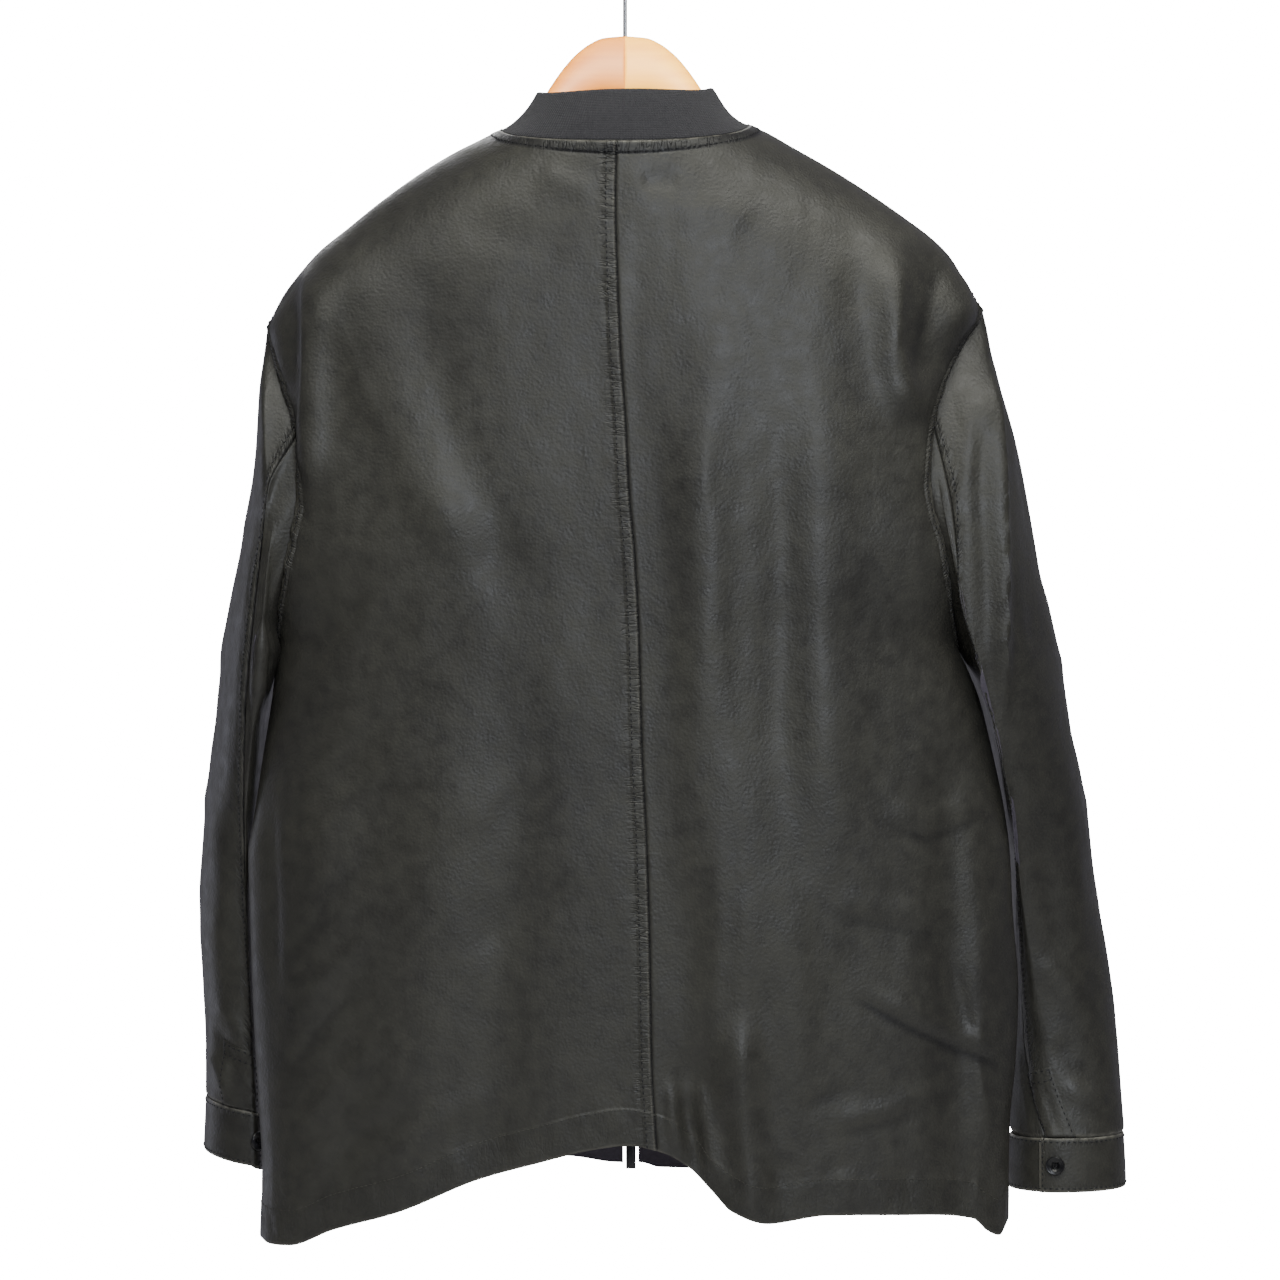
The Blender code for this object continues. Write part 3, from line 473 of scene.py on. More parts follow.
def uneven(waves: Sequence[Wave], u: np.ndarray, v: np.ndarray, seed: int) -> np.ndarray:
    """Waves of seeded noise, added up.

    Args:
        waves: The waves.
        u: First coordinate, in millimetres.
        v: Second coordinate, in millimetres.
        seed: Added to each wave's own seed.

    Returns:
        The lift in millimetres.
    """
    return sum(w.high * value_noise(u + w.slant * v, v, w.wide, w.long, seed + w.seed) for w in waves)


# ---- Cloth grids ----


class Band(NamedTuple):
    """A doubled edge: how wide it is, how far it stands up, its ripples' depth and their seed."""

    wide: float
    high: float
    pucker: float
    seed: int


class Rub(NamedTuple):
    """A soft line beside an edge, which adds to a mark where all of its masks hold."""

    mark: str
    edge: Edge
    at: float
    half_width: float
    strength: float
    masks: tuple[str, ...] = ()


@dataclass(frozen=True)
class Crease:
    """A crease along a short path, raised (+) or sunk (-), soft on both sides.

    Its lean makes the side before the path (lower X, or higher) wider than the other, and its
    line is how much painted shade darkens the leather along its bottom.
    """

    path: tuple[tuple[float, float], ...]
    width: float
    height: float
    lean: float = 0.0
    fade: float = 0.3
    line: float = 0.0

    def profile(self, across: np.ndarray, down: np.ndarray, sharp: float = 1.0) -> np.ndarray:
        """The crease's rounded section, fading towards its ends.

        Args:
            across: The places' X.
            down: The places' distance below the origin.
            sharp: How many times narrower than the crease it is.

        Returns:
            1 on the path, falling softly to 0 beside it.
        """
        ends = np.array(self.path, float)
        legs = np.diff(ends, axis=0)
        lengths = np.linalg.norm(legs, axis=1)
        total = lengths.sum()
        nearest = np.full(across.shape, np.inf)
        along = np.zeros(across.shape)
        beside = np.zeros(across.shape)
        start = 0.0
        for (x, y), (leg_x, leg_y), length in zip(ends, legs, lengths):
            dx, dy = across - x, down - y
            t = np.clip((dx * leg_x + dy * leg_y) / length**2, 0, 1)
            away = np.hypot(dx - t * leg_x, dy - t * leg_y)
            closer = away < nearest
            nearest = np.where(closer, away, nearest)
            along = np.where(closer, start + t * length, along)
            beside = np.where(closer, np.sign(leg_x * dy - leg_y * dx), beside)
            start += length
        part = along / total
        window = smooth_step(part / self.fade) * smooth_step((1 - part) / self.fade)
        width = self.width * (1 + self.lean * beside) / sharp
        return window * np.exp(-((nearest / width) ** 2))


@dataclass
class Cloth:
    """A piece's outer surface: rows and columns of points, and which way its normals turn.

    Its marks are what the leather's finish reads at each point, from 0 to 1: wear (rubbed pale),
    seam (dark: the seams, their stitch lines and the neck band, plus painted shade in the creases
    and on the hem band), and ruck_down and ruck_across (gathers of a seam that runs down or
    across, whose grooves are painted with shade).
    """

    points: np.ndarray
    sense: int = 1
    marks: dict[str, np.ndarray] = field(default_factory=dict)

    @property
    def normals(self) -> np.ndarray:
        """The outward normal at each point."""
        ahead = np.gradient(self.points, axis=0)
        aside = np.gradient(self.points, axis=1)
        return unit(np.cross(ahead, aside)) * self.sense

    @property
    def across(self) -> np.ndarray:
        """Each point's X."""
        return self.points[..., 0]

    @property
    def down(self) -> np.ndarray:
        """Each point's distance below the origin."""
        return -self.points[..., 2]

    @property
    def area_m2(self) -> float:
        """The surface's area in square metres."""
        a, b = self.points[:-1, :-1], self.points[1:, :-1]
        c, d = self.points[1:, 1:], self.points[:-1, 1:]
        halves = np.linalg.norm(np.cross(b - a, c - a), axis=-1)
        halves += np.linalg.norm(np.cross(c - a, d - a), axis=-1)
        return float(halves.sum() / 2 * MM * MM)

    @property
    def flat_m(self) -> tuple[float, float]:
        """The mean row's and the longest column's length in metres: the cut's width and length."""
        wide = self.from_edge(Edge.FIRST)[:, -1].mean() * MM
        long = self.from_edge(Edge.TOP)[-1].max() * MM
        return round(float(wide), 3), round(float(long), 3)

    def from_edge(self, edge: Edge) -> np.ndarray:
        """Each point's distance from an edge, along the grid's lines.

        Args:
            edge: The edge.

        Returns:
            The distances in millimetres.
        """
        axis = 0 if edge in (Edge.TOP, Edge.FOOT) else 1
        steps = np.linalg.norm(np.diff(self.points, axis=axis), axis=-1)
        pad = [(0, 0), (0, 0)]
        pad[axis] = (1, 0)
        gone = np.pad(np.cumsum(steps, axis=axis), pad)
        if edge in (Edge.FOOT, Edge.LAST):
            gone = np.take(gone, [-1], axis=axis) - gone
        return gone

    def raised(self, lift: np.ndarray) -> "Cloth":
        """The cloth moved along its normals."""
        return Cloth(self.points + self.normals * lift[..., None], self.sense, self.marks)

    def seam_dip(self, edges: Sequence[Edge], deep: float = 0.8, wide: float = 2.2) -> np.ndarray:
        """The lift that rolls a sewn edge down into its seam.

        Args:
            edges: The sewn edges.
            deep: How far down they roll.
            wide: How far in the roll starts.

        Returns:
            The lift in millimetres.
        """
        lift = np.zeros(self.points.shape[:2])
        for edge in edges:
            near = np.clip(1 - self.from_edge(edge) / wide, 0, 1)
            lift = np.minimum(lift, -deep * near**2)
        return lift

    def band(self, edge: Edge, band: Band, side: Side) -> np.ndarray:
        """The lift of a doubled edge, such as a topstitched seam allowance or a turned hem.

        Args:
            edge: The edge that it lies along.
            band: Its sizes.
            side: The side that the cloth is on, which sets its ripples.

        Returns:
            The lift in millimetres.
        """
        away, seed = self.from_edge(edge), band.seed + side.sign
        inside = smooth_step((band.wide + 0.8 - away) / 1.6)
        run = self.from_edge(Edge.TOP if edge in (Edge.FIRST, Edge.LAST) else Edge.FIRST)
        ripple = value_noise(run, away, 5.5, 14.0, seed) + 0.6 * value_noise(run, away, 11.0, 30.0, seed + 1)
        ripple *= line_at(away, band.wide * 0.55, band.wide * 0.8)
        return band.high * inside + band.pucker * ripple - 0.5 * band.high * line_at(away, band.wide, 0.9)

    def beside(self, edge: Edge, wide: float, fade: float) -> np.ndarray:
        """1 within a width of an edge, falling evenly to 0 over a fade."""
        return np.clip((wide + fade - self.from_edge(edge)) / fade, 0, 1)

    def rubbed(self, rubs: Sequence[Rub], masks: dict[str, Any]) -> dict[str, np.ndarray]:
        """The marks that some lines beside the edges add up to.

        Args:
            rubs: The lines.
            masks: Where each named mask holds, from 0 to 1.

        Returns:
            The marks.
        """
        marks: dict[str, Any] = {}
        for rub in rubs:
            line = rub.strength * line_at(self.from_edge(rub.edge), rub.at, rub.half_width)
            for mask in rub.masks:
                line = line * masks[mask]
            marks[rub.mark] = marks.get(rub.mark, 0.0) + line
        return marks

    def row_line(self, edge: Edge, distance: float, start: float = 0.0, stop: float = 1.0) -> np.ndarray:
        """A line at a fixed distance from an edge, as points on the cloth.

        Args:
            edge: The edge that the line runs beside.
            distance: How far from it the line lies.
            start: Where along the edge the line starts, from 0 to 1.
            stop: Where along it the line stops.

        Returns:
            The points, in order.
        """
        away = self.from_edge(edge)
        points = self.points + self.normals * 0.12
        if edge in (Edge.TOP, Edge.FOOT):
            away, points = away.T, points.transpose(1, 0, 2)
        if edge in (Edge.FOOT, Edge.LAST):
            away, points = away[:, ::-1], points[:, ::-1]
        first = int(round(start * (len(points) - 1)))
        last = int(round(stop * (len(points) - 1)))
        line = []
        for gone, row in zip(away[first : last + 1], points[first : last + 1]):
            line.append([np.interp(distance, gone, row[:, axis]) for axis in range(3)])
        return np.array(line)


# ---- Meshes ----


def new_object(name: str, data: Mesh | bpy.types.Light | bpy.types.Camera) -> Object:
    """Puts a mesh, light or camera in the scene as an object at the origin.

    Args:
        name: The object's name.
        data: What it holds.

    Returns:
        The object.
    """
    made = bpy.data.objects.new(name, data)
    bpy.context.scene.collection.objects.link(made)
    return made


def grid_quads(rows: int, columns: int, first: int, flipped: bool) -> np.ndarray:
    """The four corners of each cell of a grid of points.

    Args:
        rows: How many rows the grid has.
        columns: How many columns.
        first: The number of its first point.
        flipped: Whether the corners run the other way round.

    Returns:
        One row of four point numbers for each cell.
    """
    row, column = np.meshgrid(np.arange(rows - 1), np.arange(columns - 1), indexing="ij")
    a = (first + row * columns + column).reshape(-1)
    quads = np.stack([a, a + columns, a + columns + 1, a + 1], axis=1)
    return quads[:, ::-1] if flipped else quads


def border(rows: int, columns: int) -> np.ndarray:
    """The numbers of a grid's outermost points, in order round it from its first.

    Args:
        rows: How many rows the grid has.
        columns: How many columns.

    Returns:
        The numbers.
    """
    top = np.arange(columns)
    last = np.arange(1, rows) * columns + columns - 1
    foot = (rows - 1) * columns + np.arange(columns - 2, -1, -1)
    first = np.arange(rows - 2, 0, -1) * columns
    return np.concatenate([top, last, foot, first])


def faces_mesh(name: str, points: np.ndarray, groups: Sequence[np.ndarray]) -> Mesh:
    """A mesh from points in millimetres and groups of faces, each with one count of corners.

    Args:
        name: The mesh's name.
        points: The points.
        groups: The groups, each an array of faces by corners.

    Returns:
        The mesh.
    """
    mesh = bpy.data.meshes.new(name)
    mesh.vertices.add(len(points))
    mesh.vertices.foreach_set("co", (points * MM).astype(np.float32).reshape(-1))
    corners = np.concatenate([group.reshape(-1) for group in groups]).astype(np.int32)
    mesh.loops.add(len(corners))
    mesh.loops.foreach_set("vertex_index", corners)
    sizes = np.repeat([group.shape[1] for group in groups], [len(group) for group in groups])
    mesh.polygons.add(len(sizes))
    mesh.polygons.foreach_set("loop_start", (np.cumsum(sizes) - sizes).astype(np.int32))
    mesh.update(calc_edges=True)
    mesh.validate()
    return mesh


@dataclass
class Shell:
    """A closed thin wall on a cloth's outer surface, or between it and a plainer backing.

    The inner surface has every second row and column. At a sewn edge it reaches a little under
    the next piece, as a seam's allowance does, so that no light shows through the seam.
    """

    name: str
    cloth: Cloth
    thick: float
    sewn: tuple[Edge, ...] = ()
    sewn_thick: float = 0.4
    tuck: float = 1.1
    backing: Cloth | None = None

    def thickness(self) -> np.ndarray:
        """The wall at each point: thinner at a sewn edge, so that two walls don't cross there."""
        share = np.ones(self.cloth.points.shape[:2])
        for edge in self.sewn:
            near = smooth_step(self.cloth.from_edge(edge) / (2.5 * self.thick))
            share = np.minimum(share, self.sewn_thick + (1 - self.sewn_thick) * near)
        return self.thick * share

    def inner_points(self) -> np.ndarray:
        """The inner surface, tucked under its neighbours at the sewn edges."""
        backing = self.backing or self.cloth
        inner = (backing.points - backing.normals * self.thickness()[..., None])[::2, ::2]
        for edge in self.sewn:
            rows = inner if edge in (Edge.TOP, Edge.FOOT) else inner.transpose(1, 0, 2)
            rows = rows if edge in (Edge.TOP, Edge.FIRST) else rows[::-1]
            rows[0] += unit(rows[0] - rows[3]) * self.tuck
        return inner

    def build(self, outside: Material, inside: Material) -> Object:
        """Makes the wall, with one material outside and on its rims and another inside.

        Args:
            outside: The material of the outer surface and the rims.
            inside: The material of the inner surface.

        Returns:
            The object, in the scene.
        """
        outer, inner = self.cloth.points, self.inner_points()
        rows, columns = outer.shape[:2]
        count = rows * columns
        flipped = self.cloth.sense < 0
        rim, inner_rim = border(rows, columns), border(*inner.shape[:2]) + count
        sides = np.stack(
            [rim[::2], rim[1::2], np.roll(rim, -2)[::2], np.roll(inner_rim, -1), inner_rim], axis=1
        )
        groups = [
            grid_quads(rows, columns, 0, flipped),
            grid_quads(*inner.shape[:2], count, not flipped),
            sides[:, ::-1] if flipped else sides,
        ]
        points = np.concatenate([outer.reshape(-1, 3), inner.reshape(-1, 3)])
        mesh = faces_mesh(self.name, points, groups)
        made = new_object(self.name, mesh)
        mesh.materials.append(outside)
        mesh.materials.append(inside)
        slots = np.repeat((0, 1, 0), [len(group) for group in groups])
        mesh.polygons.foreach_set("material_index", slots.astype(np.int32))
        for label, values in self.cloth.marks.items():
            layer = mesh.attributes.new(label, "FLOAT", "POINT")
            padded = np.concatenate([np.clip(values, 0, 1).reshape(-1), np.zeros(len(points) - count)])
            layer.data.foreach_set("value", padded.astype(np.float32))
        self.add_uv(mesh)
        mesh.shade_smooth()
        mesh.set_sharp_from_angle(angle=math.radians(50))
        return made

    def add_uv(self, mesh: Mesh) -> None:
        """Lays the wall out flat by its lengths, in metres."""
        flat = np.stack([self.cloth.from_edge(Edge.FIRST), -self.cloth.from_edge(Edge.TOP)], axis=-1) * MM
        flat = np.concatenate([flat.reshape(-1, 2), flat[::2, ::2].reshape(-1, 2) + (1.0, 0.0)])
        layer = mesh.uv_layers.new(name="flat")
        loops = np.empty(len(mesh.loops), np.int32)
        mesh.loops.foreach_get("vertex_index", loops)
        layer.data.foreach_set("uv", flat[loops].astype(np.float32).reshape(-1))


def lofted(name: str, sections: np.ndarray, closed_ends: bool = True) -> Object:
    """A smooth solid through sections of equal point counts.

    Args:
        name: The object's name.
        sections: Sections by points by XYZ, in millimetres.
        closed_ends: Whether both ends are capped.

    Returns:
        The object, with its faces out.
    """
    count, sides = sections.shape[:2]
    row, column = np.meshgrid(np.arange(count - 1), np.arange(sides), indexing="ij")
    a = (row * sides + column).reshape(-1)
    b = (row * sides + (column + 1) % sides).reshape(-1)
    faces = [tuple(face) for face in np.stack([a, b, b + sides, a + sides], axis=1).tolist()]
    if closed_ends:
        faces.append(tuple(range(sides))[::-1])
        faces.append(tuple(range((count - 1) * sides, count * sides)))
    mesh = bpy.data.meshes.new(name)
    mesh.from_pydata((sections.reshape(-1, 3) * MM).tolist(), [], faces)
    turn_out(mesh)
    mesh.shade_smooth()
    mesh.set_sharp_from_angle(angle=math.radians(45))
    return new_object(name, mesh)


def turn_out(mesh: Mesh) -> None:
    """Makes a closed mesh's faces point out.

    Args:
        mesh: The mesh.
    """
    shape = bmesh.new()
    shape.from_mesh(mesh)
    bmesh.ops.recalc_face_normals(shape, faces=shape.faces)
    if shape.calc_volume(signed=True) < 0:
        bmesh.ops.reverse_faces(shape, faces=shape.faces)
    shape.to_mesh(mesh)
    shape.free()


def applied(made: Object) -> Object:
    """Turns an object with its modifiers into a plain mesh of the same name.

    Args:
        made: The object, which is removed.

    Returns:
        The object that takes its place.
    """
    graph = bpy.context.evaluated_depsgraph_get()
    mesh = bpy.data.meshes.new_from_object(made.evaluated_get(graph), depsgraph=graph)
    name = made.name
    bpy.data.objects.remove(made, do_unlink=True)
    mesh.name = name
    return new_object(name, mesh)


# ---- Materials ----

NOISE = "ShaderNodeTexNoise"
MATH = "ShaderNodeMath"
RANGE = "ShaderNodeMapRange"
MIX = "ShaderNodeMix"
BUMP = "ShaderNodeBump"
MARK = "ShaderNodeAttribute"
PLACE = "ShaderNodeTexCoord"
STRETCH = "ShaderNodeMapping"
FLAT = "ShaderNodeUVMap"


def linear(colour: str) -> tuple[float, float, float, float]:
    """A linear RGBA colour from an sRGB one.

    Args:
        colour: A hex value such as #4A4843.

    Returns:
        Red, green, blue, and a full alpha.
    """
    channels = []
    for start in (1, 3, 5):
        value = int(colour[start : start + 2], 16) / 255
        channels.append(value / 12.92 if value <= 0.04045 else ((value + 0.055) / 1.055) ** 2.4)
    return (channels[0], channels[1], channels[2], 1.0)


def fill(tree: NodeTree, node: Node, inputs: dict[Any, Any]) -> Node:
    """Joins a node's inputs to other nodes, or sets them.

    Args:
        tree: The node's tree.
        node: The node.
        inputs: For each input, by name or index, a node (its first output), an output or a value.

    Returns:
        The same node.
    """
    for name, source in inputs.items():
        if isinstance(source, Node):
            source = next(output for output in source.outputs if output.enabled)
        if isinstance(source, NodeSocket):
            tree.links.new(source, node.inputs[name])
        else:
            node.inputs[name].default_value = source
    return node


def add_node(tree: NodeTree, kind: str, inputs: dict[Any, Any], **settings: Any) -> Node:
    """Adds a node with its settings, and joins or sets its inputs.

    Args:
        tree: The tree that the node goes in.
        kind: Blender's name for the kind of node.
        inputs: What each input takes, as in fill.
        **settings: The node's own properties.

    Returns:
        The node.
    """
    node = tree.nodes.new(kind)
    for name, value in settings.items():
        setattr(node, name, value)
    return fill(tree, node, inputs)


def new_surface(name: str) -> tuple[Material, NodeTree, Node]:
    """A new material, its node tree and its shader.

    Args:
        name: The material's name.

    Returns:
        The three.
    """
    material = bpy.data.materials.new(name)
    material.use_nodes = True
    return material, material.node_tree, material.node_tree.nodes["Principled BSDF"]


@dataclass(frozen=True)
class LeatherFinish:
    """Thin lambskin, drum-dyed and lightly glazed.

    The glaze gives a soft sheen on folds, the grain breaks it up, and rubbed seam edges are
    paler. Seams and the neck band are darker, and the gathers' grooves, the creases and the hem
    band are mixed towards the shadow colour as painted shade. Its real grain is about 0.6 mm,
    drawn at 2.1 mm so that it shows in a view of the whole jacket.
    """

    name: str = "lambskin_glazed"
    colour: str = "#3C3B35"
    dark: str = "#302F2C"
    rubbed: str = "#908D82"
    shadow: str = "#131315"
    grain_mm: float = 2.1
    pore_mm: float = 3.0
    mottle_mm: float = 11.0
    cloud_mm: float = 120.0
    smoothest: float = 0.41
    roughest: float = 0.57
    bump_mm: float = 0.26
    ruck_mm: float = 3.6
    ruck_long_mm: float = 17.0
    ruck_deep_mm: float = 0.55
    ruck_patch_mm: float = 24.0
    ruck_thin: float = 0.07
    ruck_dark: float = 0.40

    def build(self) -> Material:
        """Makes the material."""
        material, tree, shader = new_surface(self.name)
        place = add_node(tree, PLACE, {}).outputs["Object"]
        cloud = add_node(tree, NOISE, {"Vector": place, "Scale": 1000 / self.cloud_mm, "Detail": 2.0})
        mottle = add_node(tree, NOISE, {"Vector": place, "Scale": 1000 / self.mottle_mm, "Detail": 3.0})
        shade = add_node(tree, MATH, {0: cloud, 1: mottle}, operation="ADD")
        even = add_node(tree, RANGE, {"Value": shade, "From Min": 0.7, "From Max": 1.3})
        along, beside = 1000 / self.ruck_long_mm, 1000 / self.ruck_mm
        down = self.rucks(tree, "ruck_down", (along, beside, 1.0))
        across = self.rucks(tree, "ruck_across", (beside, along, 1.0))
        pulled = add_node(tree, MATH, {0: down, 1: across}, operation="ADD")
        seam = add_node(tree, MARK, {}, attribute_name="seam").outputs["Fac"]
        wear = add_node(tree, MARK, {}, attribute_name="wear").outputs["Fac"]
        # painted shade: the gathers' grooves and the seam mark (the seams' own dark, plus painted shade in
        # the creases and on the hem band) mix the colour towards the shadow colour
        sunk = {0: pulled, 1: self.ruck_dark, 2: seam}
        dim = add_node(tree, MATH, sunk, operation="MULTIPLY_ADD", use_clamp=True)
        tint: Any = linear(self.dark)
        for share, colour in ((even, self.colour), (dim, self.shadow), (wear, self.rubbed)):
            tint = add_node(tree, MIX, {"Factor": share, "A": tint, "B": linear(colour)}, data_type="RGBA")
        rough = {"Value": mottle, "From Min": 0.3, "From Max": 0.7}
        rough |= {"To Min": self.smoothest, "To Max": self.roughest}
        cells = {"Vector": place, "Scale": 1000 / self.grain_mm, "Smoothness": 0.7}
        grain = add_node(tree, "ShaderNodeTexVoronoi", cells, feature="SMOOTH_F1")
        pores = add_node(tree, NOISE, {"Vector": place, "Scale": 1000 / self.pore_mm, "Detail": 3.0})
        height = add_node(tree, MATH, {0: grain, 1: pores}, operation="ADD")
        skin = add_node(tree, BUMP, {"Height": height, "Strength": 0.8, "Distance": self.bump_mm * MM})
        deep = {"Height": pulled, "Strength": 0.9, "Distance": self.ruck_deep_mm * MM, "Normal": skin}
        finish = {
            "Base Color": tint,
            "Roughness": add_node(tree, RANGE, rough),
            "Normal": add_node(tree, BUMP, deep, invert=True),
            "IOR": 1.46,
            "Coat Weight": 0.06,
            "Coat Roughness": 0.32,
        }
        fill(tree, shader, finish)
        return material

    def rucks(self, tree: NodeTree, mark: str, scale: tuple[float, float, float]) -> Node:
        """Fine gathers that run across a sewn band, where the cloth carries a mark.

        Args:
            tree: The material's tree.
            mark: The name of the cloth's mark.
            scale: How the flat cloth is stretched, so that the gathers lie across the band.

        Returns:
            A node that gives their depth, 0 off the band, which both raises them and paints shade in them.
        """
        flat = add_node(tree, FLAT, {}, uv_map="flat")
        laid = add_node(tree, STRETCH, {"Vector": flat, "Scale": scale})
        wave = add_node(tree, NOISE, {"Vector": laid, "Scale": 1.0, "Detail": 1.0, "Distortion": 0.4})
        off = add_node(tree, MATH, {0: wave, 1: 0.5}, operation="SUBTRACT")
        away = add_node(tree, MATH, {0: off}, operation="ABSOLUTE")
        thin = {"Value": away, "From Max": self.ruck_thin, "To Min": 1.0, "To Max": 0.0}
        patch = add_node(tree, NOISE, {"Vector": flat, "Scale": 1000 / self.ruck_patch_mm})
        uneven = {"Value": patch, "From Min": 0.4, "From Max": 0.6, "To Min": 0.3, "To Max": 1.2}
        here = add_node(tree, MARK, {}, attribute_name=mark).outputs["Fac"]
        deep = add_node(tree, MATH, {0: add_node(tree, RANGE, thin), 1: here}, operation="MULTIPLY")
        return add_node(tree, MATH, {0: deep, 1: add_node(tree, RANGE, uneven)}, operation="MULTIPLY")


@dataclass(frozen=True)
class GrainFinish:
    """A surface of two close colours, mixed by a fine grain that also roughens it.

    The grain has a size along each axis, so that wood's can run along its arm.
    """

    name: str
    colour: str
    dark: str
    roughness: float
    metallic: float = 0.0
    grain_mm: tuple[float, float, float] = (0.8, 0.8, 0.8)
    detail: float = 3.0
    wander: float = 0.0
    contrast: float = 0.5
    bump: float = 0.4
    bump_mm: float = 0.02
    sheen: float = 0.0
    coat: float = 0.0

    def height(self, tree: NodeTree, grain: Node) -> Node:
        """The node that the relief is read from: here the grain itself."""
        return grain

    def build(self) -> Material:
        """Makes the material."""
        material, tree, shader = new_surface(self.name)
        place = add_node(tree, PLACE, {}).outputs["Object"]
        scale = tuple(1000 / size for size in self.grain_mm)
        laid = add_node(tree, STRETCH, {"Vector": place, "Scale": scale})
        noise = {"Vector": laid, "Scale": 1.0, "Detail": self.detail, "Distortion": self.wander}
        grain = add_node(tree, NOISE, noise)
        spread = {"Value": grain, "From Min": 0.5 - self.contrast, "From Max": 0.5 + self.contrast}
        tints = {"Factor": add_node(tree, RANGE, spread), "A": linear(self.dark), "B": linear(self.colour)}
        height = self.height(tree, grain)
        relief = {"Height": height, "Strength": self.bump, "Distance": self.bump_mm * MM}
        finish = {
            "Base Color": add_node(tree, MIX, tints, data_type="RGBA"),
            "Normal": add_node(tree, BUMP, relief),
            "Roughness": self.roughness,
            "Metallic": self.metallic,
            "Sheen Weight": self.sheen,
            "Coat Weight": self.coat,
            "Coat Roughness": 0.35,
        }
        fill(tree, shader, finish)
        return material


@dataclass(frozen=True)
class RibKnitFinish(GrainFinish):
    """Rib knit yarn: its courses cross the modelled ribs as fine ridges under the fuzz."""

    course_mm: float = 1.3

    def height(self, tree: NodeTree, grain: Node) -> Node:
        """The courses and the fuzz, added up."""
        flat = add_node(tree, FLAT, {}, uv_map="flat")
        courses = {"Vector": flat, "Scale": 1000 / self.course_mm / math.pi, "Distortion": 1.5, "Detail": 1.0}
        wave = add_node(tree, "ShaderNodeTexWave", courses, bands_direction="Y")
        return add_node(tree, MATH, {0: wave.outputs["Fac"], 1: grain}, operation="ADD")


def made_of(finish: LeatherFinish | GrainFinish) -> Any:
    """A palette's field, which builds its finish once."""
    return field(default_factory=finish.build)


FUZZ: dict[str, Any] = {"bump_mm": 0.2, "sheen": 0.2}
BEECH: dict[str, Any] = {
    "roughness": 0.6, "grain_mm": (83.333, 4.5455, 6.25), "detail": 5.0, "wander": 0.3,
    "contrast": 0.15, "bump": 0.15, "bump_mm": 0.2, "coat": 0.08,
}


@dataclass
class Palette:
    """Every material of the jacket and its hanger, built once."""

    # Glazed lambskin: dark olive grey, with a soft sheen.
    leather: Material = made_of(LeatherFinish())
    # The same skin's brushed flesh side, seen inside the neck and the hem: matt and a little fuzzy.
    flesh: Material = made_of(
        GrainFinish("lambskin_flesh_side", "#55505C", "#454049", 0.92, 0.0, (1.4286,) * 3, bump=0.5, **FUZZ)
    )
    # Fine rib knit in a wool and cotton yarn: matt, with a soft fuzz that pales its edges.
    rib: Material = made_of(
        RibKnitFinish(
            "rib_knit_yarn", "#3B3A3E", "#29282B", 0.9, 0.0, (2.0,) * 3, 4.0, bump=0.6, bump_mm=0.3, sheen=0.2
        )
    )
    # Pale beech under clear lacquer, with a fine straight grain. One wood painted in two lights:
    # the left half darker with painted shade, the right half lighter with painted light.
    wood_left: Material = made_of(GrainFinish("beech_lacquered_tan", "#D0801C", "#C07016", **BEECH))
    wood_right: Material = made_of(GrainFinish("beech_lacquered_pale", "#F4AF30", "#E89D26", **BEECH))
    # Bright zinc on drawn wire: a clear mirror, a little softened by the drawing.
    steel: Material = made_of(GrainFinish("steel_wire_zinc", "#BDBDBD", "#A9A9AA", 0.24, 1.0))
    # Zinc alloy, black nickel plated: dark and a little glossy.
    zip_metal: Material = made_of(GrainFinish("zinc_alloy_black_nickel", "#4A4A4C", "#3A3A3C", 0.34, 1.0))
    # Herringbone polyester tape, dyed black: matt, with a fine tooth.
    tape: Material = made_of(
        GrainFinish("polyester_tape_woven", "#242425", "#171718", 0.85, 0.0, (0.7,) * 3, **FUZZ)
    )
    # Cast polyester resin, tumbled smooth: near black, with a small clear highlight.
    resin: Material = made_of(GrainFinish("polyester_resin_button", "#1B1B1E", "#101012", 0.3))
    # Core-spun polyester thread, a little paler than the leather, and a dark one for the seams.
    thread: Material = made_of(GrainFinish("polyester_thread", "#4B4A43", "#3A3933", 0.7, 0.0, (0.4,) * 3))
    thread_dark: Material = made_of(
        GrainFinish("polyester_thread_dark", "#232326", "#18181A", 0.7, 0.0, (0.4,) * 3)
    )


# ---- Repeats that follow a path, made by Geometry Nodes ----


